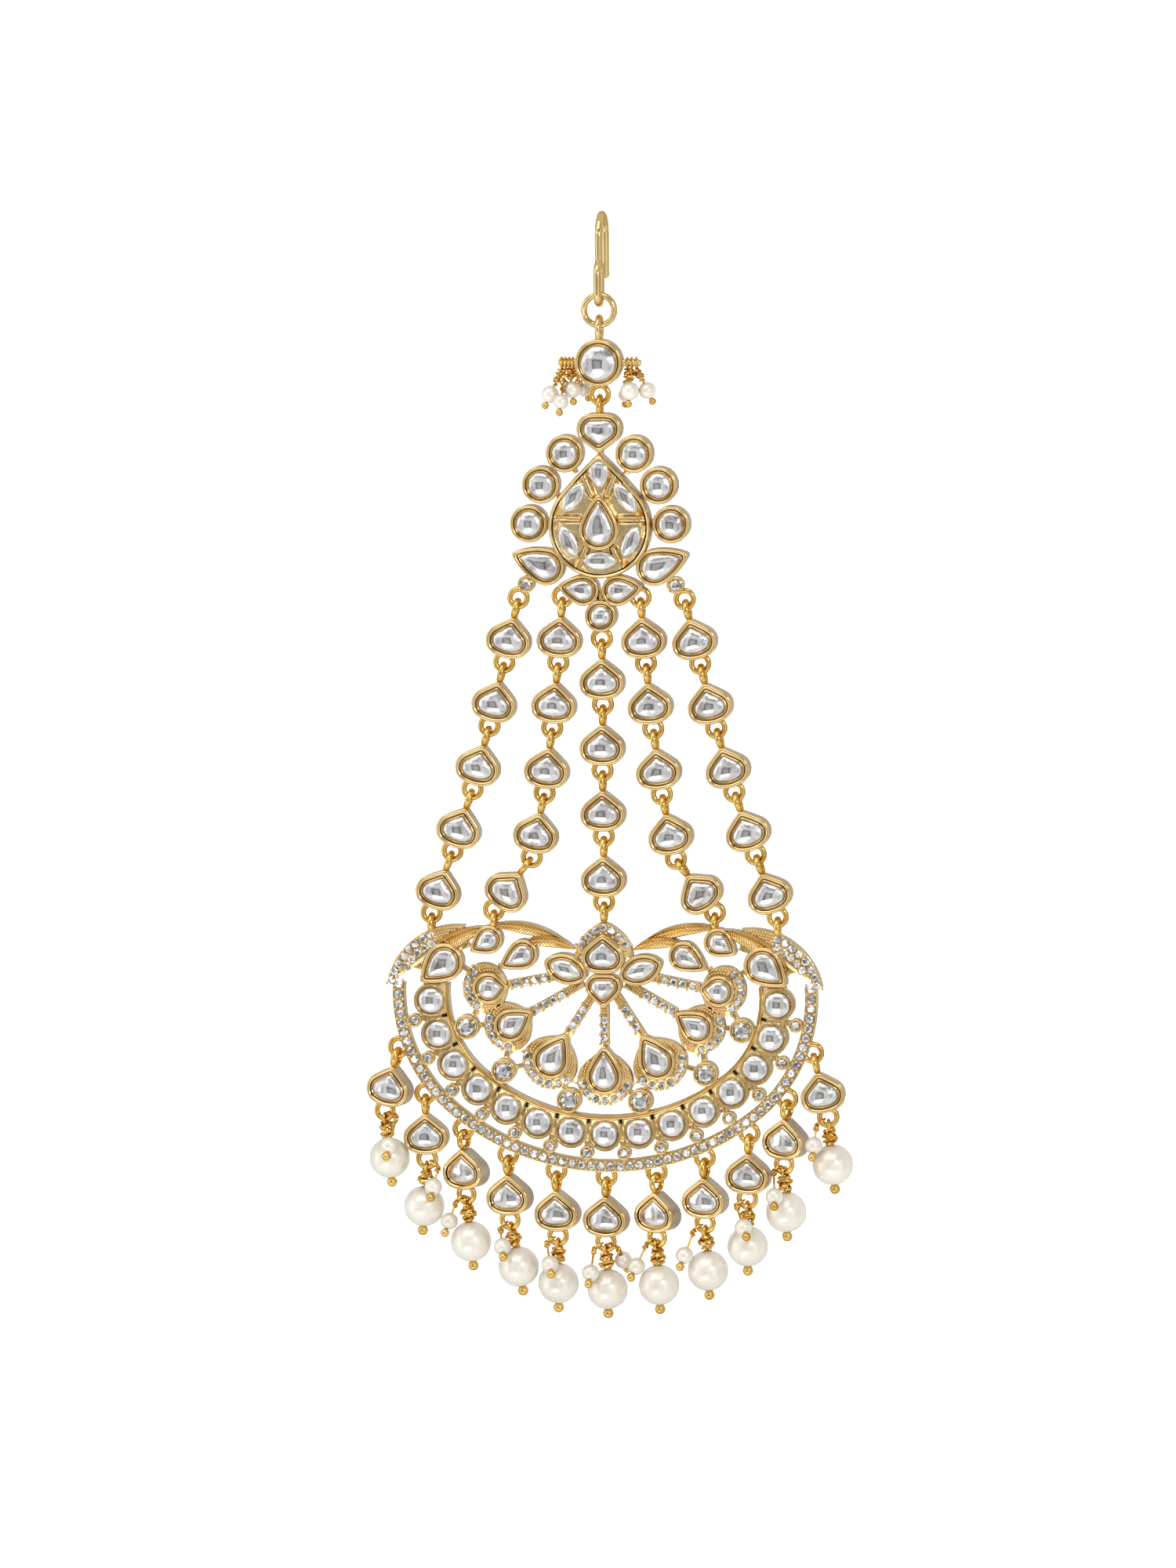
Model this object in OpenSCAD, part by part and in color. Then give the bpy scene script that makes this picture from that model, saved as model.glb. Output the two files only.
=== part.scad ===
// Passa jhoomar headpiece: hair hook, stud, crest, five strands, crescent pendant, pearl drops.
// Millimetres. +Z up, +X to the viewer's right, the front faces -Y.
// The origin is the inner top of the hook's bend, where the piece hangs in the hair.

/* [Hook and ring] */
// Thickness of the hook's wire
hook_wire = 1.15; // [0.9:0.05:1.3]
// Clear gap between the hook's two legs
hook_gap = 5.2; // [4.8:0.1:6]
// Distance from the top of the bend to the middle of the eye's lower wire
eye_drop = 12.1; // [11.5:0.1:13]
// Radius of the eye, along its wire
eye_r = 1.6; // [1.5:0.05:1.8]
// Radius of the ring, along its wire
ring_r = 2.22; // [2.1:0.02:2.4]
// Thickness of the ring's wire
ring_wire = 0.86; // [0.7:0.02:0.9]

/* [Loops] */
// Radius of every small loop and bail, along its wire
loop_r = 1.27; // [1.2:0.01:1.35]
// Thickness of the small loops' wire
loop_wire = 0.84; // [0.7:0.02:0.88]
// Clear space between interlocked loops
loop_gap = 0.12; // [0.1:0.01:0.2]

/* [Stud] */
// Radius of the round stud
stud_r = 3.5; // [3.3:0.1:3.7]
// Distance from the middle of the stud to the end of a side bar
bar_reach = 6.1; // [5.8:0.1:6.6]

/* [Links] */
// Half width of a teardrop link
link_half = 3.33; // [3.2:0.01:3.4]
// Distance between the loops of neighbouring links
link_pitch = 9.7; // [9.65:0.01:9.75]
// Depth of a link from front to back
link_deep = 3; // [2.6:0.1:3.2]

/* [Crest] */
// Distance from the stud's loop down to the widest place of the crest's middle panel
crest_drop = 19.3; // [19.2:0.05:19.5]
// Half width of the middle panel
panel_half = 7.53; // [7.4:0.01:7.6]

/* [Crescent] */
// Half width of the row of round stones
row_half = 25.76; // [25.6:0.02:25.9]
// Drop of the row of round stones below its widest place
row_drop = 20.47; // [20.4:0.01:20.6]
// Distance between neighbouring round stones of the row
row_pitch = 5.07; // [5.05:0.01:5.1]
// Distance from the row of round stones out to the middle of the outer ring
ring_out = 4.83; // [4.8:0.01:4.9]

/* [Drops] */
// Radius of a big pearl
pearl_r = 3; // [2.8:0.05:3]
// Radius of a small pearl
seed_r = 1.3; // [1.2:0.05:1.35]
// Drop from a link's lower loop to the middle of its big pearl
pearl_drop = 7.1; // [7:0.05:7.3]

/* [Hidden] */
round_fn = 72;
wire_fn = 40;
far = 60;
gold = "#d9a441";
crystal = "#dfe3e6";
pearl_white = "#f3ecdd";

wire_r = loop_wire / 2;
// A bail hangs this far below the middle of the loop that carries it
bail_drop = 2 * loop_r - 2 * wire_r - loop_gap;

// Heights of the chain of carriers, from the hook down
hang_y = -(hook_gap + hook_wire) / 2;
bend_r = (hook_gap + hook_wire) / 2;
bend_z = -hook_gap / 2;
ring_clear = 0.2;
ring_z = -eye_drop + hook_wire / 2 + ring_wire / 2 + ring_clear - ring_r;
ring_low = ring_z - ring_r;
stud_bail_r = 1.62;
stud_bail_wire = 0.9;
// Room between the double ring and the bail, which lets the stud swing
stud_bail_gap = 0.3;
stud_bail_z = ring_low + ring_wire / 2 + stud_bail_gap + stud_bail_wire / 2 - stud_bail_r;
stud_z = stud_bail_z - stud_bail_r - stud_r + 0.12;
stud_loop_z = stud_z - stud_r - 1.15;
crest_z = stud_loop_z - crest_drop;

// Outline sizes, by shape:
// round [radius], lens [length, width], pear [radius, tip height, tip angle],
// onion [half width, tip height, bottom depth, side radius, tip angle]
link_size = [link_half, 3.72, 2.48, 2.3, 55];

// Front to back levels: a link's front rim, its back, and how deep its stone sits
link_front = -1.3;
link_back = link_front + link_deep;
bezel_wall = 1.05;
tiny_wall = 0.48;
seat_deep = 1.1;
stone_gap = 0.1;

// Strands. Columns: across and up of the first loop from the crest's middle, tilt of each link
strand_rows = [
    [-12.28, -10.6, [-13.1, -13.7, -15.6, -18.5, -19.2]],
    [-5.75, -10.35, [-4.3, -5.9, -7.2, -11.8, -36]],
    [0, -16.45, [0.4, -0.8, 0.6, -0.3]],
    [5.75, -10.35, [4.3, 5.9, 7.2, 11.8, 36]],
    [12.28, -10.6, [13.1, 13.7, 15.6, 18.5, 19.2]]
];

// Crest settings. Columns: shape, across, up, turn, size, wall, front
crest_rows = [
    ["onion", 0, 14.3, 180, [3.36, 3.6, 2.4, 2.35, 55], bezel_wall, -1.5],
    ["round", 5.12, 10.7, 0, [2.78], 0.9, -1.5],
    ["round", 8.68, 6.1, 0, [2.78], 0.9, -1.5],
    ["round", 10.49, 0.4, 0, [2.78], 0.9, -1.5],
    ["pear", 8, -5.9, 68.6, [2.75, 5.58, 45], 0.9, -1.5],
    ["pear", 2.5, -9.3, 81, [2.32, 3.95, 50], 0.85, -1.5],
    ["round", 0, -13.1, 0, [2.36], 0.86, -1.5]
];
// Crest stones set straight into the middle panel. Columns: shape, across, up, turn, size
panel_rows = [
    ["pear", 0, 8.3, 180, [1.38, 2.55, 50]],
    ["lens", 3.85, 4.4, -33, [4.6, 2.2]],
    ["lens", 4.77, -1.7, 33, [4.6, 2.25]],
    ["lens", 0, -4.95, 90, [4.95, 2.6]]
];
center_row = ["pear", 0, -0.4, 0, [2.93, 5.45, 43], 0.9, -2.5];
tiny_row = ["round", 11, -8.5, 0, [1.3], tiny_wall, -1.1];

// Crescent settings, from the middle of the row's widest place. Same columns as the crest
wing_rows = [
    ["onion", 0, 5.73, 0, [3.22, 3.65, 2.35, 2.3, 55], bezel_wall, -2.1],
    ["onion", 0, 1.5, 180, [2.72, 3.3, 1.85, 1.8, 52], 0.9, -1.9],
    ["lens", 5.55, 4, 70, [7, 4.5], 0.9, -2],
    ["pear", 23.58, 4.8, 128.9, [2.85, 4.75, 47], 0.95, -2],
    ["pear", 17, 8.2, 122.4, [2.13, 3.35, 50], 0.82, -1.8],
    ["pear", 11.9, 6.1, 119.3, [2.25, 4.1, 45], 0.86, -1.9]
];
// The fan has one more column, how far its halo reaches up past the middle of the setting
fan_rows = [
    ["pear", 0, -11.9, 0, [2.74, 4.8, 45], 0.95, -1.9, 0.9],
    ["pear", 7.88, -9.57, -30.7, [2.78, 4.73, 45], 0.95, -1.9, 0.9],
    ["pear", 13.9, -4.48, -57.5, [2.42, 4.13, 46], 0.86, -1.9, 0.7],
    ["pear", 17.1, 1, -85, [2.35, 3.15, 52], 0.84, -1.9, 0.1]
];
halo_w = 1.6;
// Spokes of the fan. Columns: across and up of the outer end, then of the inner end
spoke_rows = [
    [0, -7.3, 0, -1.4],
    [5.9, -6.4, 1.3, 0.7],
    [10.6, -2.4, 4.4, 1.1],
    [14.2, 1.4, 6.6, 2.9]
];
spoke_w = 1.35;

// Drops. Columns: distance along the row, side tilt of the link and of its pearls, turn of the link
// about the upright, small pearl across and up from the big one's middle
drop_rows = [
    [-30.4, -13, 5, -12, 0.6, 2.4],
    [-24.6, 1, -4, 0, 1.8, 3.3],
    [-18.7, 2, 5, -22, -3.1, 3.1],
    [-12.4, 1, 10, -12, -2.1, 3.3],
    [-6.2, 1, 0, -8, -0.8, 3.3],
    [0, -1, 1.5, -7, -2.1, 2.8],
    [6.2, 0, 2, -24, -3.2, 2.9],
    [12.4, 0, 3, -12, -3.2, 2.5],
    [18.7, -2, 0, -6, -0.2, 3.3],
    [24.6, -3, 2, -20, -1.3, 2.8],
    [30.4, 13, 5, 4, -2.5, 3.1]
];
drop_count = len(drop_rows);
drop_out = 6.4;
seed_space = pearl_r + seed_r + 0.15;

// Small pearls on the stud's bars. Columns: place along the bar, pearl across, back, up, radius
left_cluster = [
    [-3.95, -2.65, 2.3, -4.2, 1.04],
    [-4.5, -4.14, 0.2, -4, 1.27],
    [-5.05, -5.5, -1.6, -5.6, 1.15],
    [-5.6, -7.36, 0.2, -4.7, 1.3]
];
right_cluster = [
    [4.1, 3.5, 2.2, -4.9, 1.1],
    [4.7, 4.5, -0.7, -4.1, 1.38],
    [5.4, 6.9, 0.6, -4.1, 1.27]
];

// The rows above again, with the mirrored left side
function both(rows) = [for (r = rows) each r[1] == 0 ? [r] :
    [r, concat([r[0], -r[1], r[2], -r[3]], [for (i = [4:len(r) - 1]) r[i]])]];

// Crescent's row: three arcs, a wide one below and a small one at each side
row_side_r = 17.5;
row_in = row_half - row_side_r;
row_low_r = (row_in * row_in + row_drop * row_drop - row_side_r * row_side_r)
    / (2 * (row_drop - row_side_r));
row_low_z = row_low_r - row_drop;
row_bend = atan(row_in / row_low_z);
row_bend_s = row_low_r * row_bend * PI / 180;
// Direction outwards at a distance along the row, and the place there, moved out by some amount
function row_turn(s) = abs(s) <= row_bend_s ? s / row_low_r * 180 / PI
    : sign(s) * (row_bend + (abs(s) - row_bend_s) / row_side_r * 180 / PI);
function row_at(s, out = 0) = let (t = row_turn(s), low = abs(s) <= row_bend_s,
    r = (low ? row_low_r : row_side_r) + out)
    [(low ? 0 : sign(s) * row_in) + r * sin(t), (low ? row_low_z : 0) - r * cos(t)];
row_stone_r = 1.87;
row_count = 15;
row_inner = -2.75;
small_cz_out = 2.95;
big_cz_r = 1.87;
// Large brilliants between the fan and the crescent, by their distance along the row
big_cz_s = [6.25, 18.7, 29.8];
crescent_z = crest_z - 69.1;

// Where the strands and their links hang
function link_from(row, k) = k == 0 ? [row[0], crest_z + row[1]] :
    let (p = link_from(row, k - 1), t = row[2][k - 1])
    [p[0] + link_pitch * sin(t), p[1] - link_pitch * cos(t)];
function strand_end(row) = link_from(row, len(row[2]));
function digits(i) = str(i < 10 ? "0" : "", i);

// Extrudes an outline drawn across and up, between two front to back levels
module plate(front, back) translate([0, back, 0]) rotate([90, 0, 0]) linear_extrude(back - front) children();
module place(x, z, turn = 0) translate([x, 0, z]) rotate([0, turn, 0]) children();
// A ring of wire that faces the front, and one turned edge on
module face_loop(r = loop_r, wire = wire_r) rotate([90, 0, 0])
    rotate_extrude($fn = round_fn) translate([r, 0]) circle(wire, $fn = wire_fn);
module side_loop(r = loop_r, wire = wire_r) rotate([0, 0, 90]) face_loop(r, wire);
// Turns what stands upright to point along a direction
module point_along(v) rotate([0, atan2(norm([v[0], v[1]]), v[2]), atan2(v[1], v[0])]) children();
// A straight wire between two points
module wire_line(a, b, r) translate(a) point_along(b - a) cylinder(r = r, h = norm(b - a), $fn = wire_fn);
// A round pearl, drilled along its pin
module drilled_pearl(mid, along, r, hole) translate(mid) point_along(along) difference() {
    sphere(r, $fn = round_fn);
    cylinder(r = hole, h = 4 * r, center = true, $fn = wire_fn);
}

// Outlines. All have their tip up, and inset moves the whole edge inwards
module pear2d(size, inset) {
    r = size[0]; tip = size[1]; nx = cos(size[2]); nz = sin(size[2]);
    big = (tip * tip - r * r) / (2 * (tip * nz - r));
    c = [big * nx, tip - big * nz];
    u = [big * nx, -c[1]] / (big - r);
    circle(r - inset, $fn = round_fn);
    intersection() {
        translate([-c[0], c[1]]) circle(big - inset, $fn = round_fn * 2);
        translate(c) circle(big - inset, $fn = round_fn * 2);
        polygon([[0, 0], far * u, [0, 2 * far], [-far * u[0], far * u[1]]]);
    }
}
module onion2d(size, inset) {
    h = size[1]; b = size[2]; rs = size[3]; nx = cos(size[4]); nz = sin(size[4]);
    a = size[0] - rs;
    low = (a * a + b * b - rs * rs) / (2 * (b - rs));
    big = (a * a + h * h - rs * rs) / (2 * (h * nz - nx * a - rs));
    c = [big * nx, h - big * nz];
    u = far * [a + c[0], -c[1]] / (big - rs);
    d = far * [a, b - low] / (low - rs);
    for (side = [-1, 1]) translate([side * a, 0]) circle(rs - inset, $fn = round_fn);
    intersection() {
        translate([-c[0], c[1]]) circle(big - inset, $fn = round_fn * 2);
        translate(c) circle(big - inset, $fn = round_fn * 2);
        translate([0, low - b]) circle(low - inset, $fn = round_fn * 2);
        polygon([[a, 0], [a + u[0], u[1]], [0, 2 * far], [-a - u[0], u[1]], [-a, 0],
            [-a - d[0], d[1]], [0, -2 * far], [a + d[0], d[1]]]);
    }
}
module lens2d(size, inset) {
    w = size[1] / 2;
    big = (size[0] * size[0] / 4 + w * w) / (2 * w);
    intersection() {
        translate([w - big, 0]) circle(big - inset, $fn = round_fn * 2);
        translate([big - w, 0]) circle(big - inset, $fn = round_fn * 2);
    }
}
module outline(shape, size, inset = 0) {
    if (shape == "round") circle(size[0] - inset, $fn = round_fn);
    if (shape == "pear") pear2d(size, inset);
    if (shape == "onion") onion2d(size, inset);
    if (shape == "lens") lens2d(size, inset);
}

// Points round an outline, the right half from the bottom to the tip
function pear_half(size) = let (r = size[0], tip = size[1], nx = cos(size[2]), nz = sin(size[2]),
    big = (tip * tip - r * r) / (2 * (tip * nz - r)), u = r * [big * nx, big * nz - tip] / (big - r))
    [[0, -r], r * [sin(36), -cos(36)], r * [sin(72), -cos(72)], u, (u * 0.46 + [0, tip] * 0.58), [0, tip]];
function onion_half(size) = let (h = size[1], b = size[2], rs = size[3], a = size[0] - rs,
    nx = cos(size[4]), nz = sin(size[4]), big = (a * a + h * h - rs * rs) / (2 * (h * nz - nx * a - rs)),
    u = [a, 0] + rs * [a + big * nx, big * nz - h] / (big - rs))
    [[0, -b], [a, 0] + rs * [sin(18), -cos(18)], [a, 0] + rs * [sin(42), -cos(42)],
        [a, 0] + rs * [sin(68), -cos(68)], [size[0], 0], u, [0, h]];
function mirror_half(p) = concat(p, [for (i = [len(p) - 2:-1:1]) [-p[i][0], p[i][1]]]);
function lens_points(size) = let (l = size[0] / 2, w = size[1] / 2)
    [for (t = [-90:36:234]) [w * cos(t) * abs(cos(t)), l * sin(t)]];
function rim_points(shape, size) = shape == "pear" ? mirror_half(pear_half(size))
    : shape == "onion" ? mirror_half(onion_half(size))
    : shape == "lens" ? lens_points(size)
    : [for (t = [-90:36:234]) size[0] * [cos(t), sin(t)]];
// The same outline made smaller all round, for a stone that sits inside a wall
function shrink(shape, size, by) = shape == "round" ? [size[0] - by]
    : shape == "lens" ? [size[0] - 2.6 * by, size[1] - 2 * by]
    : shape == "pear" ? [size[0] - by, size[1] - by / cos(90 - size[2]), size[2]]
    : [size[0] - by, size[1] - by / sin(size[4]), size[2] - by, size[3] - by, size[4]];

// A cut stone: flat base, girdle, a ring of facets and a table
module cut_stone(shape, size, base, girdle, table, table_part = 0.55) {
    rim = rim_points(shape, size);
    n = len(rim);
    mid = shape == "round" || shape == "lens" ? [0, 0] : [0, (size[1] - size[0]) * 0.2];
    rings = concat([for (p = rim) [p[0], base, p[1]]], [for (p = rim) [p[0], girdle, p[1]]],
        [for (p = rim) let (q = mid + (p - mid) * table_part) [q[0], table, q[1]]]);
    polyhedron(points = rings, faces = concat(
        [[for (i = [0:n - 1]) i]], [[for (i = [n - 1:-1:0]) i + 2 * n]],
        [for (k = [0, 1], i = [0:n - 1])
            [k * n + (i + 1) % n, k * n + i, (k + 1) * n + i, (k + 1) * n + (i + 1) % n]]));
}

// A setting in three passes: its body, the groove behind its rim, and the seat for its stone
module setting_body(row, back) place(row[1], row[2], row[3])
    plate(row[6], back) outline(row[0], row[4]);
module setting_cut(row, groove = true) place(row[1], row[2], row[3]) {
    wall = row[5];
    if (groove) plate(row[6] - 1, row[6] + 0.35) difference() {
        outline(row[0], row[4], wall * 0.4);
        outline(row[0], row[4], wall * 0.7);
    }
    plate(row[6] - 1, row[6] + seat_deep) outline(row[0], row[4], wall);
}
module setting_stone(row, low = 0.06, high = 0.45, part = 0.55) place(row[1], row[2], row[3])
    cut_stone(row[0], shrink(row[0], row[4], row[5] + stone_gap),
        row[6] + seat_deep - low, row[6] + 0.2, row[6] - high, part);

// Heights on the hook: the eye's upper bend and the tip of the back leg
eye_top = -7.9;
back_tip = -8.4;
module hair_hook() color(gold) {
    leg_z = -eye_drop + eye_r;
    translate([0, 0, bend_z]) intersection() {
        side_loop(bend_r, hook_wire / 2);
        translate([-far, -far, 0]) cube(2 * far);
    }
    translate([0, hang_y, eye_top + eye_r])
        cylinder(d = hook_wire, h = bend_z - eye_top - eye_r, $fn = wire_fn);
    translate([0, -hang_y, back_tip]) cylinder(d = hook_wire, h = bend_z - back_tip, $fn = wire_fn);
    translate([0, -hang_y, back_tip]) sphere(d = hook_wire, $fn = wire_fn);
    translate([0, hang_y, 0]) {
        translate([0, 0, eye_top]) intersection() {
            side_loop(eye_r, hook_wire / 2);
            translate([-far, -far, 0]) cube(2 * far);
        }
        translate([0, 0, leg_z]) intersection() {
            side_loop(eye_r, hook_wire / 2);
            translate([-far, -far, -2 * far]) cube(2 * far);
        }
        for (side = [-1, 1]) translate([0, side * eye_r, leg_z])
            cylinder(d = hook_wire, h = eye_top - leg_z, $fn = wire_fn);
    }
}

module hook_ring() color(gold) translate([0, hang_y, ring_z])
    for (side = [-1, 1]) translate([0, side * 0.37, 0]) face_loop(ring_r, ring_wire / 2);

stud_row = ["round", 0, 0, 0, [stud_r], 0.92, -1.5];
module connector_setting() color(gold) translate([0, hang_y, stud_z]) {
    difference() {
        setting_body(stud_row, 1.6);
        setting_cut(stud_row);
    }
    translate([0, 0, stud_bail_z - stud_z]) side_loop(stud_bail_r, stud_bail_wire / 2);
    translate([0, 0, stud_loop_z - stud_z]) face_loop();
    for (side = [-1, 1]) wire_line([side * (stud_r - 0.5), 0.1, 0], [side * bar_reach, 0.1, 0], 0.5);
}
module connector_stone() color(crystal) translate([0, hang_y, stud_z]) setting_stone(stud_row);

// A pearl on its wire: an eye round the bar, a shaft, and an end ball below the pearl
function pin_dir(c) = let (v = [c[1] - c[0], c[2] - 0.1, c[3] + 0.8]) v / norm(v);
module cluster_pins(rows) color(gold) translate([0, hang_y, stud_z]) for (c = rows) {
    start = [c[0], 0.1, -0.9];
    mid = [c[1], c[2], c[3]];
    tail = mid + (c[4] + 0.5) * pin_dir(c);
    translate([c[0], 0.1, -0.1]) side_loop(0.82, 0.16);
    wire_line(start, tail, 0.15);
    // The ball's seam faces away from the wire
    translate(tail) rotate([0, 0, atan2(pin_dir(c)[1], pin_dir(c)[0])]) sphere(0.55, $fn = wire_fn);
}
module cluster_pearls(rows) color(pearl_white) translate([0, hang_y, stud_z]) for (c = rows)
    drilled_pearl([c[1], c[2], c[3]], pin_dir(c), c[4], 0.26);

module crest_frame() color(gold) translate([0, hang_y, crest_z]) {
    panel = ["pear", 0, 0, 0, [panel_half, 10.92, 47]];
    difference() {
        union() {
            for (r = both(crest_rows)) setting_body(r, 1.6);
            setting_body(center_row, 1.4);
            for (r = both([tiny_row])) setting_body(r, 1);
            // Back plate that carries the border settings
            plate(0, 1.4) outline("pear", [panel_half + 1.7, 12.9, 47]);
            plate(-2, 1.4) difference() {
                outline("pear", panel[4]);
                outline("pear", panel[4], 0.65);
            }
            plate(-1.1, 1.4) outline("pear", panel[4], 0.3);
            // Bars between the panel's stones
            plate(-1.7, 1) for (side = [-1, 1]) {
                translate([side * 5.1, 1.35]) square([4.2, 0.62], center = true);
                translate([side * 2.3, 6.9]) rotate(-side * 31) square([0.62, 3.4], center = true);
                translate([side * 3.1, -4.3]) rotate(side * 32) square([0.62, 3.4], center = true);
            }
            translate([0, 0.4, -11.1]) rotate([90, 0, 0])
                cylinder(r = 0.9, h = 2, center = true, $fn = wire_fn);
        }
        for (r = both(crest_rows)) setting_cut(r);
        for (r = both([tiny_row])) setting_cut(r, false);
        setting_cut(center_row);
        for (r = both(panel_rows)) place(r[1], r[2], r[3]) plate(-3, 0.1) outline(r[0], r[4]);
    }
    for (s = strand_rows) place(s[0], s[1]) face_loop();
    translate([0, 0, crest_drop - bail_drop]) side_loop();
}
module crest_center_stone() color(crystal) translate([0, hang_y, crest_z])
    setting_stone(center_row, 0.06, 0.3);
module crest_inner_stones() color(crystal) translate([0, hang_y, crest_z]) for (r = both(panel_rows))
    place(r[1], r[2], r[3]) cut_stone(r[0], shrink(r[0], r[4], stone_gap), 0.04, -1.3, -1.75);
module crest_border_stones() color(crystal) translate([0, hang_y, crest_z])
    for (r = both(crest_rows)) setting_stone(r);
module crest_brilliants() color(crystal) translate([0, hang_y, crest_z])
    for (r = both([tiny_row])) setting_stone(r, 0.06, 0.1);

// A link hangs from the middle of the loop above it, at the origin here
link_row = ["onion", 0, -2.8 - link_size[1], 0, link_size, bezel_wall, link_front];
module teardrop_link() {
    difference() {
        setting_body(link_row, link_back);
        setting_cut(link_row);
    }
    place(0, -bail_drop) side_loop();
    place(0, -link_pitch) face_loop();
}
module hang_links(i) {
    row = strand_rows[i - 1];
    for (k = [0:len(row[2]) - 1]) {
        p = link_from(row, k);
        translate([p[0], hang_y, p[1]]) rotate([0, -row[2][k], 0]) children();
    }
}
module strand_links(i) color(gold) hang_links(i) teardrop_link();
module strand_stones(i) color(crystal) hang_links(i) setting_stone(link_row);

// The crescent's shapes, which all follow the row of round stones at some distance out
module row_shape(out) {
    for (side = [-1, 1]) translate([side * row_in, 0]) circle(row_side_r + out, $fn = round_fn * 2);
    intersection() {
        translate([0, row_low_z]) circle(row_low_r + out, $fn = round_fn * 3);
        polygon([[row_in, 0], [row_in + far * sin(row_bend), -far * cos(row_bend)],
            [-row_in - far * sin(row_bend), -far * cos(row_bend)], [-row_in, 0]]);
    }
}
module row_band(out, inner, top) intersection() {
    difference() {
        row_shape(out);
        row_shape(inner);
    }
    translate([-far, -2 * far]) square([2 * far, 2 * far + top]);
}
module row_place(s, out = 0) {
    p = row_at(s, out);
    place(p[0], p[1]) children();
}
row_stones_s = [for (k = [0:row_count - 1]) (k - (row_count - 1) / 2) * row_pitch];
row_gaps_s = [for (k = [0:row_count - 2]) (k - (row_count - 2) / 2) * row_pitch];
row_row = ["round", 0, 0, 0, [2.5], 0.6, -1.5];
small_cz = ["round", 0, 0, 0, [1.06], 0.42, -1.1];
big_cz = ["round", 0, 0, 0, [big_cz_r], 0.72, -1.6];
// Large brilliants touch the crescent's inner rim
big_cz_out = row_inner - big_cz_r + 0.2;

// A leaf between two points, with one edge bowed more than the other
module bow(p, q, rise) {
    v = q - p;
    half = norm(v) / 2;
    r = (half * half + rise * rise) / (2 * rise);
    n = [-v[1], v[0]] / (2 * half);
    translate((p + q) / 2 - n * (r - rise)) circle(r, $fn = round_fn * 2);
}
module leaf2d(p, q, outer, inner) difference() {
    intersection() {
        bow(p, q, outer);
        bow(q, p, 0.3);
    }
    if (inner > 0) bow(p, q, inner);
}
// Leaves and wing of the right side. Columns: start, end, bow of the outer edge, front
leaf_rows = [
    [[4.6, 7], [11.9, 8.1], 1.6, -1.2],
    [[6.3, 8], [15.9, 10.3], 1.5, -1.2],
    [[17.6, 10.2], [27.4, 3.6], 2.1, -1.2]
];
wing_ends = [[20.4, 10.2], [32.3, 1.6]];
neck_w = 0.9;
// Necks between the fan and the wing and between the wing's pieces. Columns: start, end
wing_necks = [
    [[15.4, 4.3], [17, 1.6]],
    [[20, 7.4], [23, 6]],
    [[20, 3.2], [22, 4.4]],
    [[26.4, 3.4], [29, 4.4]],
    [[24.6, -0.6], [24.6, 3]]
];
// Frame's top bails: across, up
bail_places = [for (s = strand_rows) let (p = strand_end(s)) [p[0], p[1] - bail_drop - crescent_z]];

module crescent_side() {
    for (l = leaf_rows) {
        plate(l[3], 0.9) leaf2d(l[0], l[1], l[2], -0.3);
        plate(l[3] - 0.35, 0.9) leaf2d(l[0], l[1], l[2], l[2] - 0.45);
    }
    plate(-0.9, 0.9) intersection() {
        bow(wing_ends[0], wing_ends[1], 2.9);
        bow(wing_ends[1], wing_ends[0], 0.65);
    }
    for (r = spoke_rows) plate(-0.8, 0.8) {
        v = [r[2] - r[0], r[3] - r[1]];
        translate([r[0], r[1]]) rotate(atan2(v[1], v[0])) translate([0, -spoke_w / 2])
            square([norm(v), spoke_w]);
    }
    // Necks that join the large brilliants to the halos, and the fan to the wing
    plate(0, 0.8) {
        for (k = [0:2], j = [k, k + 1]) {
            a = row_at(big_cz_s[k], big_cz_out);
            b = [fan_rows[j][1], fan_rows[j][2]];
            translate(a) rotate(atan2(b[1] - a[1], b[0] - a[0])) translate([0, -neck_w / 2])
                square([norm(b - a), neck_w]);
        }
        for (l = wing_necks) {
            v = l[1] - l[0];
            translate(l[0]) rotate(atan2(v[1], v[0])) translate([0, -neck_w / 2]) square([norm(v), neck_w]);
        }
    }
}
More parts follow.
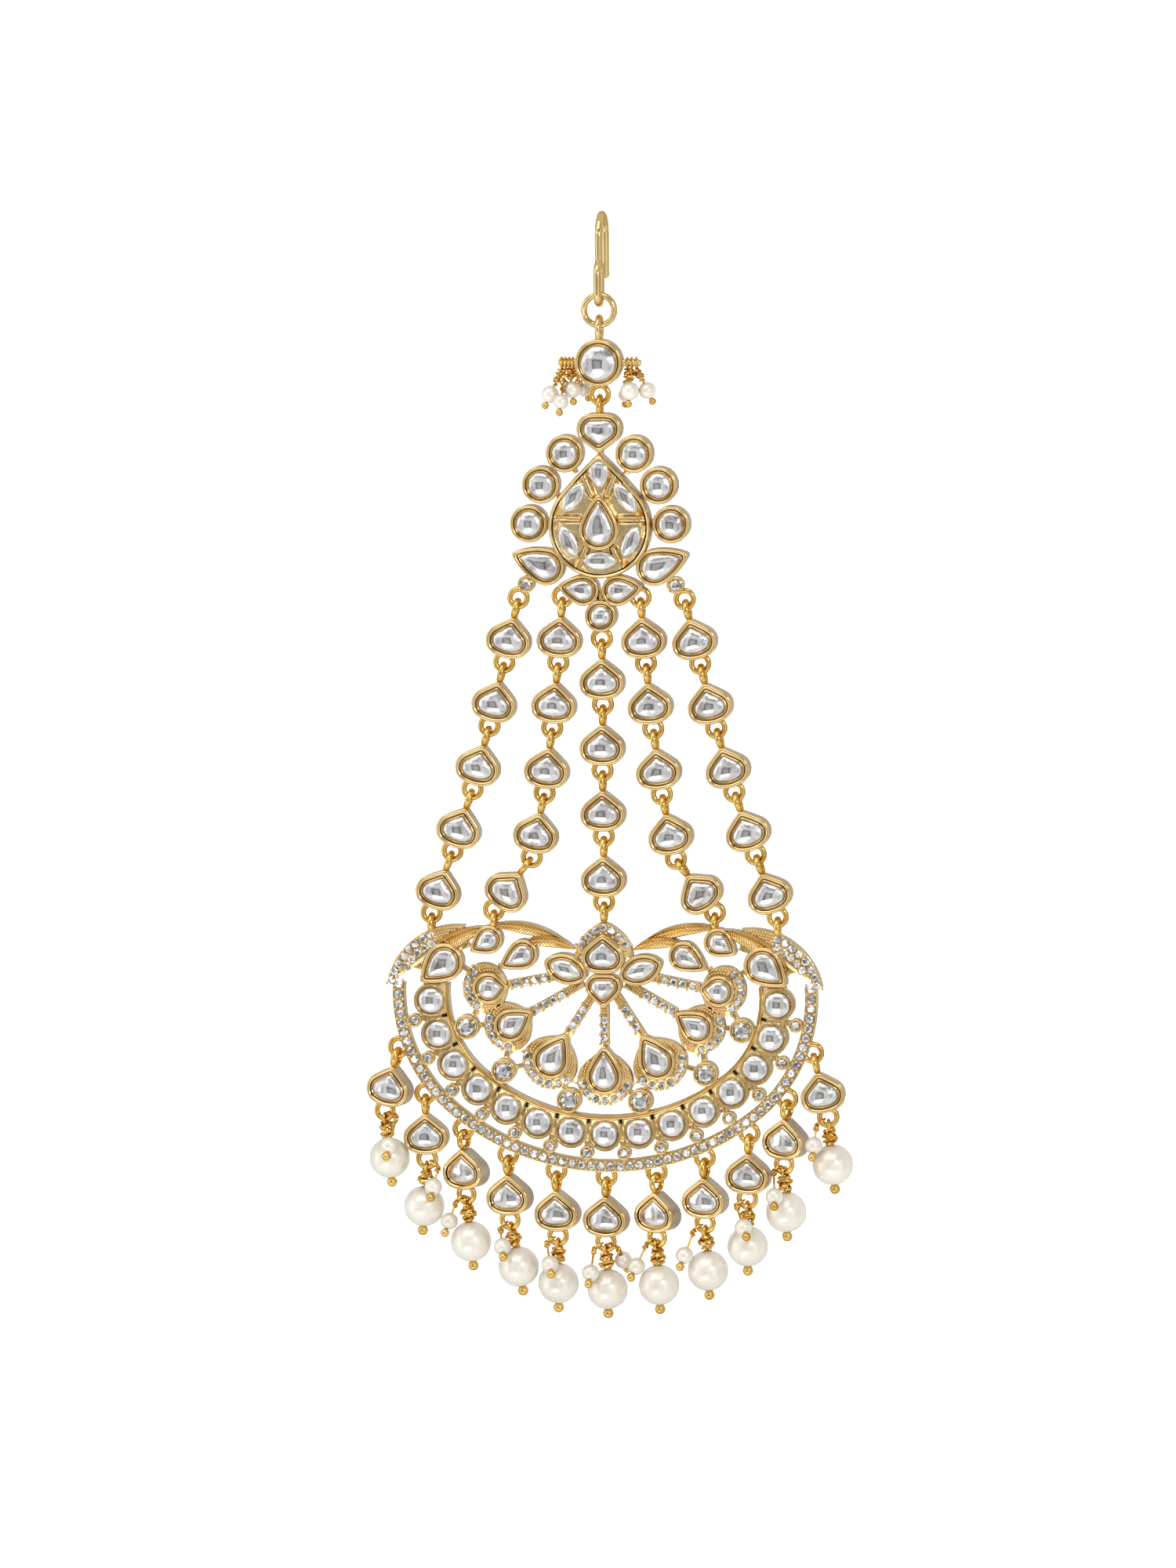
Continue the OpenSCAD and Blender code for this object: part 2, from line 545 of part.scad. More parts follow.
module crescent_frame() color(gold) translate([0, hang_y, crescent_z]) {
    difference() {
        union() {
            // Outer ring, crescent band with its scallops, and the raised inner rim
            plate(-0.9, 0.9) row_band(ring_out + 0.92, ring_out - 0.92, 1.6);
            plate(-1.1, 0.9) row_band(1.2, row_inner, 1.6);
            plate(-1.6, 0.9) row_band(row_inner + 0.55, row_inner, 1.6);
            for (s = row_stones_s) row_place(s) setting_body(row_row, 0.9);
            for (s = row_gaps_s) {
                row_place(s, small_cz_out) setting_body(small_cz, 0.9);
                // Neck behind the small brilliant, from the crescent to the ring
                row_place(s, 0.8) plate(0, 0.8) rotate(row_turn(s) - 90)
                    translate([0, -neck_w / 2]) square([ring_out - 1, neck_w]);
            }
            for (s = big_cz_s, side = [-1, 1]) row_place(side * s, big_cz_out) setting_body(big_cz, 0.9);
            for (r = both(fan_rows)) {
                setting_body(r, 0.9);
                place(r[1], r[2], r[3]) plate(-0.8, 0.9) intersection() {
                    pear2d(r[4], -halo_w);
                    translate([-far, -2 * far]) square([2 * far, 2 * far + r[7]]);
                }
            }
            for (r = both(wing_rows)) setting_body(r, 0.9);
            // Crown plate behind the top setting
            plate(-0.9, 0.9) translate([0, wing_rows[0][2]]) intersection() {
                onion2d(wing_rows[0][4], -1.75);
                translate([-far, -0.6]) square(2 * far);
            }
            for (side = [0, 1]) mirror([side, 0, 0]) crescent_side();
        }
        for (s = row_stones_s) row_place(s) setting_cut(row_row, false);
        for (s = row_gaps_s) row_place(s, small_cz_out) setting_cut(small_cz, false);
        for (s = big_cz_s, side = [-1, 1]) row_place(side * s, big_cz_out) setting_cut(big_cz);
        for (r = both(fan_rows)) setting_cut(r);
        for (r = both(wing_rows)) setting_cut(r);
    }
    for (p = bail_places) place(p[0], p[1]) side_loop();
    for (d = drop_rows) row_place(d[0], drop_out) face_loop();
}
module crescent_stones() color(crystal) translate([0, hang_y, crescent_z])
    for (s = row_stones_s) row_place(s) setting_stone(row_row);
module small_brilliants() color(crystal) translate([0, hang_y, crescent_z])
    for (s = row_gaps_s) row_place(s, small_cz_out) setting_stone(small_cz, 0.06, 0.1);
module large_brilliants() color(crystal) translate([0, hang_y, crescent_z])
    for (s = big_cz_s, side = [-1, 1]) row_place(side * s, big_cz_out) setting_stone(big_cz, 0.06, 0.2);
module fan_stones() color(crystal) translate([0, hang_y, crescent_z])
    for (r = both(fan_rows)) setting_stone(r);
module wing_stones() color(crystal) translate([0, hang_y, crescent_z])
    for (r = both(wing_rows)) setting_stone(r);

// A drop's link hangs from the middle of the frame's loop, and its pearls from the link's lower loop
module hang_drop(i, pearls = false) {
    d = drop_rows[i - 1];
    p = row_at(d[0], drop_out) + (pearls ? link_pitch * [sin(d[1]), -cos(d[1])] : [0, 0]);
    translate([p[0], hang_y, crescent_z + p[1]]) rotate([0, -d[pearls ? 2 : 1], 0]) rotate(d[3]) children();
}
pin_loop_r = 0.8;
pin_wire = 0.25;
pin_ball_r = 0.78;
pin_eye_drop = loop_r - wire_r - loop_gap + pin_loop_r - pin_wire;
seed_side = 62;
seed_loop_r = 0.72;
seed_wire = 0.17;
seed_shaft = 0.14;
seed_ball_r = 0.66;
// The end balls sit part way into the pearls' holes
ball_out = 0.6;
// Middle of a small pearl, from the drop's lower loop: it leans on the big pearl's front. The
// drop's tilt and turn are taken off again
function seed_mid(d) = let (a = d[2], t = d[3],
    x = d[4] * cos(a) + d[5] * sin(a), z = d[5] * cos(a) - d[4] * sin(a),
    y = -sqrt(max(0.2, seed_space * seed_space - x * x - z * z)))
    [x * cos(t) + y * sin(t), y * cos(t) - x * sin(t), z - pearl_drop];
// Small pearls. Columns: drop, middle of the pearl, side that its wire starts on. The sixth drop
// has another one behind its loop
seeds = concat([for (i = [1:drop_count]) let (d = drop_rows[i - 1]) [i, seed_mid(d), d[4] < 0 ? -1 : 1]],
    [[6, [2.1, 1.6, -3], 1]]);
module seed_parts(m, side, pearls) {
    s = loop_r * [side * sin(seed_side), 0, -cos(seed_side)];
    begin = s * (1 + seed_loop_r / loop_r);
    v = (m - begin) / norm(m - begin);
    tail = m + (seed_r + ball_out) * v;
    if (pearls) drilled_pearl(m, v, seed_r, 0.33);
    if (!pearls) {
        translate(s) rotate([0, -side * seed_side, 0]) side_loop(seed_loop_r, seed_wire);
        wire_line(begin, tail, seed_shaft);
        translate(tail) sphere(seed_ball_r, $fn = wire_fn);
    }
}

module drop_link(i) color(gold) hang_drop(i) teardrop_link();
module drop_stones() color(crystal) for (i = [1:drop_count]) hang_drop(i) setting_stone(link_row);
module big_pearl(i) color(pearl_white) hang_drop(i, true)
    drilled_pearl([0, 0, -pearl_drop], [0, 0, 1], pearl_r, 0.5);
module drop_pins() color(gold) for (i = [1:drop_count]) hang_drop(i, true) {
    low = pearl_drop + pearl_r + ball_out;
    translate([0, 0, -pin_eye_drop]) side_loop(pin_loop_r, pin_wire);
    translate([0, 0, -low]) cylinder(r = 0.28, h = low - pin_eye_drop - pin_loop_r, $fn = wire_fn);
    // Coil of wire above the pearl
    translate([0, 0, -pearl_drop + pearl_r + 0.1]) cylinder(r = 0.65, h = 0.9, $fn = wire_fn);
    translate([0, 0, -low]) sphere(pin_ball_r, $fn = wire_fn);
}
module drop_small_pearls() color(pearl_white) for (e = seeds)
    hang_drop(e[0], true) seed_parts(e[1], e[2], true);
module drop_small_pins() color(gold) for (e = seeds)
    hang_drop(e[0], true) seed_parts(e[1], e[2], false);

hair_hook();
hook_ring();
connector_setting();
connector_stone();
cluster_pearls(left_cluster);  // left_cluster_pearls
cluster_pins(left_cluster);  // left_cluster_pins
cluster_pearls(right_cluster);  // right_cluster_pearls
cluster_pins(right_cluster);  // right_cluster_pins
crest_frame();
crest_center_stone();
crest_inner_stones();
crest_border_stones();
crest_brilliants();
for (i = [1:5]) {
    strand_links(i);
    strand_stones(i);
}
crescent_frame();
crescent_stones();
fan_stones();
wing_stones();
large_brilliants();
small_brilliants();
for (i = [1:drop_count]) {
    drop_link(i);
    big_pearl(i);
}
drop_stones();
drop_pins();
drop_small_pearls();
drop_small_pins();
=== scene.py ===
# Passa jhoomar headpiece: looks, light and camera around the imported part.
# Tables are in millimetres and become metres when a piece is made. Front is -Y, up is +Z.
import math
import bmesh
import bpy
from mathutils import Matrix, Vector
from mathutils.geometry import tessellate_polygon


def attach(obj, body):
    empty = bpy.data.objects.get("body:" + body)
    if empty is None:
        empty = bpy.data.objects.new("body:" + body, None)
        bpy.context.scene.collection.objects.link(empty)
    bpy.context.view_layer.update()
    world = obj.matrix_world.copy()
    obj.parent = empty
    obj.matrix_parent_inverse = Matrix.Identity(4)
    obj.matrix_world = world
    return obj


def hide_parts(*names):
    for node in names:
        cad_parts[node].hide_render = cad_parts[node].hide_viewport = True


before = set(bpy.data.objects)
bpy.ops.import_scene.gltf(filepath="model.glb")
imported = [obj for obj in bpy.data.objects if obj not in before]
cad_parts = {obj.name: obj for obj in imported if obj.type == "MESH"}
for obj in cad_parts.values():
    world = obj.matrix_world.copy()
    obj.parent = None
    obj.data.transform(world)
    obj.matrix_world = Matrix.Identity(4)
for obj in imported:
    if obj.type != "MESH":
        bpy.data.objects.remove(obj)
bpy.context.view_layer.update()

mm = 0.001

# Heights of the four groups and sizes that many pieces share
layout = {"hangY": -3.175, "ringZ": -13.115, "studZ": -20.775, "crestZ": -44.725, "crescentZ": -113.825,
          "loopRadius": 1.27, "loopWire": 0.42, "bailDrop": 1.58, "linkPitch": 9.7}


def shift(x, z, turn=0.0, y=0.0):
    return Matrix.Translation((x, y, z)) @ Matrix.Rotation(math.radians(turn), 4, "Y")


def place(x, y, z):
    return Matrix.Translation((x, y, z))


studAt = place(0, layout["hangY"], layout["studZ"])
crestAt = place(0, layout["hangY"], layout["crestZ"])
crescentAt = place(0, layout["hangY"], layout["crescentZ"])
sideOn = Matrix.Rotation(math.radians(90), 4, "Z")


# A shape in the making: points, faces with their finish, and a flow map
def newMetal():
    return {"verts": [], "faces": [], "slots": [], "uv": []}


def addMesh(metal, verts, faces, slot=0, matrix=None, uv=None):
    start = len(metal["verts"])
    metal["verts"] += [matrix @ Vector(v) if matrix else Vector(v) for v in verts]
    flip = matrix is not None and matrix.determinant() < 0
    for k, face in enumerate(faces):
        face = [start + i for i in face]
        metal["faces"].append(face[::-1] if flip else face)
        metal["slots"].append(slot if isinstance(slot, int) else slot[k])
    metal["uv"] += uv if uv else [(0.0, 0.0)] * len(verts)


# sharp is the angle in degrees above which an edge stays sharp, and 0 leaves every face flat
def makeMesh(name, metal, materials, sharp=40):
    mesh = bpy.data.meshes.new(name)
    mesh.from_pydata([tuple(v * mm) for v in metal["verts"]], [], metal["faces"])
    for m in materials:
        mesh.materials.append(m)
    mesh.polygons.foreach_set("material_index", metal["slots"])
    index = mesh.attributes.new("finish", "INT", "FACE")
    index.data.foreach_set("value", metal["slots"])
    flow = mesh.uv_layers.new(name="flow")
    flow.data.foreach_set("uv", [c for loop in mesh.loops for c in metal["uv"][loop.vertex_index]])
    joined = bmesh.new()
    joined.from_mesh(mesh)
    bmesh.ops.remove_doubles(joined, verts=joined.verts, dist=0.0002 * mm)
    joined.to_mesh(mesh)
    joined.free()
    if sharp:
        mesh.shade_smooth()
        mesh.set_sharp_from_angle(angle=math.radians(sharp))
    mesh.update()
    return mesh


def makePiece(name, metal, materials, body, nodes=(), sharp=40):
    piece = bpy.data.objects.new(name, makeMesh(name, metal, materials, sharp))
    bpy.context.scene.collection.objects.link(piece)
    return finishPiece(piece, body, nodes)


def finishPiece(piece, body, nodes=()):
    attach(piece, body)
    if nodes:
        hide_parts(*nodes)
    return piece


# Outlines. Each one runs from the bottom, up the right side to the tip, and down the left side
def arcPoints(cx, cz, r, start, end, count):
    angles = [start + (end - start) * k / count for k in range(count + 1)]
    return [(cx + r * math.cos(a), cz + r * math.sin(a)) for a in angles]


def halfOutline(shape, size, inset):
    if shape == "round":
        return arcPoints(0, 0, size[0] - inset, -math.pi / 2, math.pi / 2, 20)
    if shape == "lens":
        w = size[1] / 2
        big = (size[0] ** 2 / 4 + w * w) / (2 * w)
        a = math.acos(min(1, (big - w) / max(big - inset, big - w + 1e-6)))
        return arcPoints(w - big, 0, big - inset, -a, a, 22)
    if shape == "pear":
        r, tip, angle = size
        nx, nz = math.cos(math.radians(angle)), math.sin(math.radians(angle))
        big = (tip * tip - r * r) / (2 * (tip * nz - r))
        cx, cz = big * nx, tip - big * nz
        touch, end = math.atan2(-cz, cx), math.acos(cx / (big - inset))
        return arcPoints(0, 0, r - inset, -math.pi / 2, touch, 16) + \
            arcPoints(-cx, cz, big - inset, touch, end, 12)[1:]
    width, tip, low, side, angle = size
    a = width - side
    nx, nz = math.cos(math.radians(angle)), math.sin(math.radians(angle))
    lowR = (a * a + low * low - side * side) / (2 * (low - side))
    big = (a * a + tip * tip - side * side) / (2 * (tip * nz - nx * a - side))
    cx, cz = big * nx, tip - big * nz
    lowEnd, touch = math.atan2(low - lowR, a), math.atan2(-cz, a + cx)
    end = math.acos(cx / (big - inset))
    return arcPoints(0, lowR - low, lowR - inset, -math.pi / 2, lowEnd, 5) + \
        arcPoints(a, 0, side - inset, lowEnd, touch, 11)[1:] + \
        arcPoints(-cx, cz, big - inset, touch, end, 10)[1:]


def outline(shape, size, inset=0.0):
    half = halfOutline(shape, size, inset)
    full = half + [(-x, z) for x, z in half[-2:0:-1]]
    if shape == "round":
        return full
    # Soften the tip a little, as a cast and polished rim is
    tips = [len(half) - 1] + ([0] if shape == "lens" else [])
    n, out = len(full), list(full)
    for t in tips:
        for step, share in ((0, 0.55), (1, 0.25), (-1, 0.25)):
            i = (t + step) % n
            a, b = full[(i - 1) % n], full[(i + 1) % n]
            out[i] = tuple(full[i][c] * (1 - share) + (a[c] + b[c]) / 2 * share for c in (0, 1))
    return out


def seatMiddle(shape, size):
    return (0.0, 0.0) if shape in ("round", "lens") else (0.0, (size[1] - size[0]) * 0.2)


# Joins rings of equal length, listed from the outside in, with quads
def sweepRings(metal, rings, slots, matrix, uv=None):
    n = len(rings[0])
    verts = [p for ring in rings for p in ring]
    faces, kinds = [], []
    for k in range(len(rings) - 1):
        for i in range(n):
            j = (i + 1) % n
            faces.append([k * n + i, k * n + j, (k + 1) * n + j, (k + 1) * n + i])
            kinds.append(slots[k + 1] if isinstance(slots, list) else slots)
    addMesh(metal, verts, faces, kinds, matrix, uv)


def fan(metal, ring, middle, slot, matrix, front=True):
    n = len(ring)
    faces = [[i, (i + 1) % n, n] if front else [(i + 1) % n, i, n] for i in range(n)]
    addMesh(metal, list(ring) + [middle], faces, slot, matrix)


# Sweeps a section round an outline. Each point of it is inset, depth and finish
def sweep(metal, shape, size, profile, matrix, capEnd=True):
    rings = [[(x, p[1], z) for x, z in outline(shape, size, p[0])] for p in profile]
    sweepRings(metal, rings, [p[2] for p in profile], matrix)
    if capEnd:
        mid = seatMiddle(shape, size)
        fan(metal, rings[-1], (mid[0], profile[-1][1], mid[1]), profile[-1][2], matrix)


# A raised rim: shares of the wall's width, and depths behind its front in millimetres
rimLook = {"crest": 0.3, "valley": 0.64, "valleyDeep": 0.66, "lip": 0.85, "lipDeep": 0.16, "walls": 0.62}


def settingSection(wall, front, back, seat):
    d, look = min(1.0, wall / 0.9), rimLook
    crest, gold, pale, shade = look["crest"] * wall, 0, 1, 6
    return [
        [0.5, back, pale], [0.12, back, pale], [0.07, back - 0.07, pale],
        [0.07, front + look["walls"] * d, pale],
        [0.01, front + 0.48 * d, gold], [0.0, front + 0.32 * d, gold],
        [crest * 0.18, front + 0.15 * d, gold], [crest * 0.5, front + 0.04 * d, gold], [crest, front, gold],
        [crest * 1.5, front + 0.04 * d, gold], [crest * 1.9, front + 0.16 * d, gold],
        [look["valley"] * wall - 0.03, front + look["valleyDeep"] * d, gold],
        # The valley floor takes the dark goldShade finish (slot 6): painted shade in the groove
        [look["valley"] * wall + 0.06, front + look["valleyDeep"] * d, shade],
        [look["lip"] * wall - 0.08, front + (look["lipDeep"] + 0.06) * d, gold],
        [look["lip"] * wall, front + look["lipDeep"] * d, gold],
        [wall - 0.04, front + (look["lipDeep"] + 0.08) * d, gold],
        [wall, front + 0.42 * d, gold], [wall + 0.02, front + seat, gold],
    ]


def addSetting(metal, row, back, matrix, seat=0.95):
    m = matrix @ shift(row[1], row[2], row[3])
    section = settingSection(row[5], row[6], back, seat)
    sweep(metal, row[0], row[4], section, m)
    ring = [(x, back, z) for x, z in outline(row[0], row[4], 0.5)]
    fan(metal, ring, (0, back, seatMiddle(row[0], row[4])[1]), 1, m, front=False)


# A foil-backed stone that swells out of its seat. flow.x is 1 at its edge and 0 in its middle
def addDome(metal, row, rise, matrix, base=0.34):
    m = matrix @ shift(row[1], row[2], row[3])
    rim = outline(row[0], row[4], row[5] - 0.03)
    mid = seatMiddle(row[0], row[4])
    levels = [(1.0, 0.9), (1.0, base), (0.965, base - 0.24), (0.9, base - 0.4), (0.8, base - 0.52)]
    top = base - 0.52
    levels += [(s, top - rise * (1 - (s / 0.8) ** 2)) for s in (0.66, 0.5, 0.34, 0.18)]
    wide = max(x for x, z in rim)
    high, low = max(z for x, z in rim) - mid[1], mid[1] - min(z for x, z in rim)
    rings, uv = [], []
    for s, y in levels:
        ring, share = [], max(0.0, 1 - s) ** 0.6 * 0.92
        for x, z in rim:
            a = math.atan2((z - mid[1]) / (high if z > mid[1] else low), x / wide)
            ex, ez = wide * math.cos(a), (high * 0.86 if z > mid[1] else low) * math.sin(a)
            ring.append((s * (x + (ex - x) * share), row[6] + y,
                         mid[1] + s * (z - mid[1] + (ez - z + mid[1]) * share)))
        rings.append(ring)
        uv += [(s, i / len(rim)) for i in range(len(rim))]
    sweepRings(metal, rings, 0, m, uv)
    fan(metal, rings[-1], (mid[0], row[6] + top - rise, mid[1]), 0, m)
    fan(metal, rings[0], (mid[0], rings[0][0][1], mid[1]), 0, m, front=False)


def makeStones(name, rows, rise, matrix, body, node, base=0.34):
    glass = newMetal()
    for row in rows:
        addDome(glass, row, rise, matrix, base)
    makePiece(name, glass, [foiledStone], body, [node], 60)


# A small round brilliant of radius 1 that faces -Y, its girdle at depth 0
def brilliantUnit():
    s, faces = 8, []
    verts = [(0, 0.4, 0)]
    for r, y, turn in ((0.92, 0.12, 0.0), (1.0, 0.0, 0.0), (0.78, -0.22, 0.5), (0.55, -0.34, 0.0)):
        for k in range(s):
            a = 2 * math.pi * (k + turn) / s
            verts.append((r * math.cos(a), y, r * math.sin(a)))
    verts.append((0, -0.34, 0))
    for k in range(s):
        j = (k + 1) % s
        faces += [[0, 1 + j, 1 + k], [1 + k, 1 + j, 1 + s + j, 1 + s + k],
                  [1 + s + k, 1 + s + j, 1 + 2 * s + k], [1 + s + j, 1 + 2 * s + j, 1 + 2 * s + k],
                  [1 + 2 * s + k, 1 + 3 * s + j, 1 + 3 * s + k],
                  [1 + 2 * s + k, 1 + 2 * s + j, 1 + 3 * s + j],
                  [1 + 3 * s + k, 1 + 3 * s + j, 1 + 4 * s]]
    unit = newMetal()
    addMesh(unit, verts, faces)
    return unit


# A wire ring that faces the front. wide is its half width from front to back
def addRing(metal, r, wire, matrix, slot=0, count=40, sides=14, wide=None):
    wide = wide or wire
    verts = []
    for i in range(count):
        a = math.radians(360.0 * i / count)
        for j in range(sides):
            b = 2 * math.pi * j / sides
            d = r + wire * math.cos(b)
            verts.append((d * math.cos(a), -wide * math.sin(b), d * math.sin(a)))
    faces = []
    for i in range(count):
        a, b = i * sides, (i + 1) % count * sides
        faces += [[a + j, b + j, b + (j + 1) % sides, a + (j + 1) % sides] for j in range(sides)]
    addMesh(metal, verts, faces, slot, matrix)


def addWire(metal, points, radius, matrix=None, slot=0, sides=8, taper=None):
    pts = [Vector(p) for p in points]
    verts, side = [], None
    turns = [2 * math.pi * j / sides for j in range(sides)]
    for i, p in enumerate(pts):
        along = (pts[min(i + 1, len(pts) - 1)] - pts[max(i - 1, 0)]).normalized()
        side = along.cross(Vector((0.31, 0.87, 0.38))) if side is None else side
        side = (side - along * side.dot(along)).normalized()
        up = along.cross(side)
        r = radius * (taper[i] if taper else 1)
        verts += [p + (side * math.cos(a) + up * math.sin(a)) * r for a in turns]
    faces = []
    for i in range(len(pts) - 1):
        a, b = i * sides, (i + 1) * sides
        faces += [[a + j, a + (j + 1) % sides, b + (j + 1) % sides, b + j] for j in range(sides)]
    last = (len(pts) - 1) * sides
    faces += [[j for j in reversed(range(sides))], [last + j for j in range(sides)]]
    addMesh(metal, verts, faces, slot, matrix)


def addBall(metal, r, matrix, slot=0, around=20, down=12):
    verts = [(0, 0, r)]
    for j in range(1, down):
        b = math.pi * j / down
        verts += [(r * math.sin(b) * math.cos(a), r * math.sin(b) * math.sin(a), r * math.cos(b))
                  for a in [2 * math.pi * i / around for i in range(around)]]
    verts.append((0, 0, -r))
    faces = [[0, 1 + i, 1 + (i + 1) % around] for i in range(around)]
    for j in range(down - 2):
        a, b = 1 + j * around, 1 + (j + 1) * around
        faces += [[a + i, b + i, b + (i + 1) % around, a + (i + 1) % around] for i in range(around)]
    a, last = 1 + (down - 2) * around, len(verts) - 1
    faces += [[last, a + (i + 1) % around, a + i] for i in range(around)]
    addMesh(metal, verts, faces, slot, matrix)


# A pearl with a drilled hole along Z. flow.y runs from 0 at the top to 1 at the bottom
def addPearl(metal, r, hole, matrix, around=40, down=22):
    verts, uv = [], []
    first = math.asin(hole / r)
    angles = [first * 0.55] + [first + (math.pi - 2 * first) * k / down for k in range(down + 1)] + \
        [math.pi - first * 0.55]
    for k, b in enumerate(angles):
        rr, z = r * math.sin(b), r * math.cos(b)
        if k in (0, len(angles) - 1):  # the hole's floor
            rr, z = hole * 0.8, (r - 0.35) * (1 if k == 0 else -1)
        for i in range(around):
            a = 2 * math.pi * i / around
            verts.append((rr * math.cos(a), rr * math.sin(a), z))
            uv.append((i / around, b / math.pi))
    faces = []
    for j in range(len(angles) - 1):
        a, b = j * around, (j + 1) * around
        faces += [[a + i, b + i, b + (i + 1) % around, a + (i + 1) % around] for i in range(around)]
    last = (len(angles) - 1) * around
    faces += [list(range(around)), [last + i for i in reversed(range(around))]]
    addMesh(metal, verts, faces, 0, matrix, uv)


def pointAlong(middle, direction):
    turn = Vector(direction).normalized().to_track_quat("Z", "Y").to_matrix().to_4x4()
    return Matrix.Translation(middle) @ turn


# Moves an outline inwards; by is one distance, or one for each point
def moveLoop(loop, by):
    n, out = len(loop), []
    for i in range(n):
        a, b, c = Vector(loop[i - 1]), Vector(loop[i]), Vector(loop[(i + 1) % n])
        e, f = (b - a).normalized(), (c - b).normalized()
        k = Vector((-e.y - f.y, e.x + f.x))
        k = k * (2 / max(k.length_squared, 0.8))
        d = by[i] if isinstance(by, list) else by
        out.append((b.x + k.x * d, b.y + k.y * d))
    return out


# A flat plate with a rounded front edge. Its outline runs anticlockwise seen from the front
def addPlate(metal, loop, front, back, matrix, bevel=0.14, face=0):
    steps = [(0.08, back, 1), (0.0, back - 0.08, 1), (0.0, front + bevel, 1),
             (bevel * 0.3, front + bevel * 0.3, face), (bevel, front, face)]
    rings = [[(x, y, z) for x, z in (moveLoop(loop, d) if d else loop)] for d, y, kind in steps]
    sweepRings(metal, rings, [kind for d, y, kind in steps], matrix)
    for ring, kind, toFront in ((rings[-1], face, True), (rings[0], 1, False)):
        flat = [Vector((x, z, 0)) for x, y, z in ring]
        faces = []
        for a, b, c in tessellate_polygon([flat]):
            ccw = (flat[b] - flat[a]).cross(flat[c] - flat[a]).z > 0
            faces.append([a, b, c] if ccw == toFront else [a, c, b])
        addMesh(metal, ring, faces, kind, matrix)


# A straight bar between two points, flat in front
def addBar(metal, x0, z0, x1, z1, half, front, back, matrix, bevel=0.14, face=0):
    a = math.atan2(z1 - z0, x1 - x0)
    nx, nz = -math.sin(a) * half, math.cos(a) * half
    loop = [(x0 - nx, z0 - nz), (x1 - nx, z1 - nz), (x1 + nx, z1 + nz), (x0 + nx, z0 + nz)]
    addPlate(metal, loop, front, back, matrix, bevel, face)


# Finishes. Each look holds what a user would change
def newFinish(name, look):
    finish = bpy.data.materials.new(name)
    finish.use_nodes = True
    shader = finish.node_tree.nodes["Principled BSDF"]
    for socket, value in look.items():
        shader.inputs[socket].default_value = value
    finish.diffuse_color = look.get("Base Color", (0.8, 0.8, 0.8, 1))
    return finish, finish.node_tree, shader


def addNode(tree, kind, inputs=None, **settings):
    node = tree.nodes.new(kind)
    for key, value in settings.items():
        setattr(node, key, value)
    for key, value in (inputs or {}).items():
        if isinstance(value, bpy.types.NodeSocket):
            tree.links.new(value, node.inputs[key])
        else:
            node.inputs[key].default_value = value
    return node


def addRamp(tree, factor, stops):
    ramp = addNode(tree, "ShaderNodeValToRGB", {"Fac": factor})
    while len(ramp.color_ramp.elements) < len(stops):
        ramp.color_ramp.elements.new(0.5)
    for element, (position, color) in zip(ramp.color_ramp.elements, stops):
        element.position, element.color = position, (*color, 1)
    return ramp.outputs["Color"]


def addRange(tree, value, low, high, toLow, toHigh):
    node = addNode(tree, "ShaderNodeMapRange", {"Value": value, "From Min": low, "From Max": high,
                                                "To Min": toLow, "To Max": toHigh})
    return node.outputs["Result"]


# Noise on the piece's own coordinates
def addNoise(tree, scale, detail, distortion=0.0):
    place3d = addNode(tree, "ShaderNodeTexCoord").outputs["Object"]
    return addNode(tree, "ShaderNodeTexNoise", {"Vector": place3d, "Scale": scale, "Detail": detail,
                                                "Distortion": distortion}).outputs["Fac"]


def addBump(tree, shader, height, strength, distance):
    bump = addNode(tree, "ShaderNodeBump", {"Height": height, "Strength": strength, "Distance": distance})
    tree.links.new(bump.outputs["Normal"], shader.inputs["Normal"])


# Metal that runs from a deep to a light colour in soft clouds, with a fine grain
def goldFinish(name, deep, light, rough, grain):
    finish, tree, shader = newFinish(name, {"Metallic": 1.0, "Base Color": (*light, 1),
                                            "Specular Tint": (*light, 1)})
    cloud = addNoise(tree, 260.0, 3.0)
    tree.links.new(addRamp(tree, cloud, [(0.32, deep), (0.62, light)]), shader.inputs["Base Color"])
    fine = addRange(tree, addNoise(tree, 2600.0, 2.0), 0.3, 0.7, *rough)
    tree.links.new(fine, shader.inputs["Roughness"])
    addBump(tree, shader, addNoise(tree, 1100.0, 2.0), grain, 0.00006)
    return finish


# Columns: deep colour, light colour, roughness low and high, grain
goldLook = {
    "goldPolished": [(0.76, 0.55, 0.25), (0.9, 0.69, 0.35), (0.05, 0.11), 0.05],
    "goldPale": [(0.64, 0.52, 0.4), (0.9, 0.81, 0.7), (0.26, 0.4), 0.4],
    "goldSatin": [(0.78, 0.58, 0.3), (0.92, 0.72, 0.4), (0.16, 0.24), 0.1],
    "goldWire": [(0.68, 0.42, 0.1), (0.88, 0.6, 0.19), (0.08, 0.15), 0.06],
    # slotPaintedShade is near black: painted shade that stands for the dark of a slot
    "slotPaintedShade": [(0.02, 0.012, 0.006), (0.05, 0.03, 0.015), (0.5, 0.7), 0.12],
    # goldShade is dark gold painted into the rims' grooves as shade
    "goldShade": [(0.36, 0.22, 0.07), (0.56, 0.37, 0.15), (0.14, 0.22), 0.06]}
golds = {name: goldFinish(name, *look) for name, look in goldLook.items()}


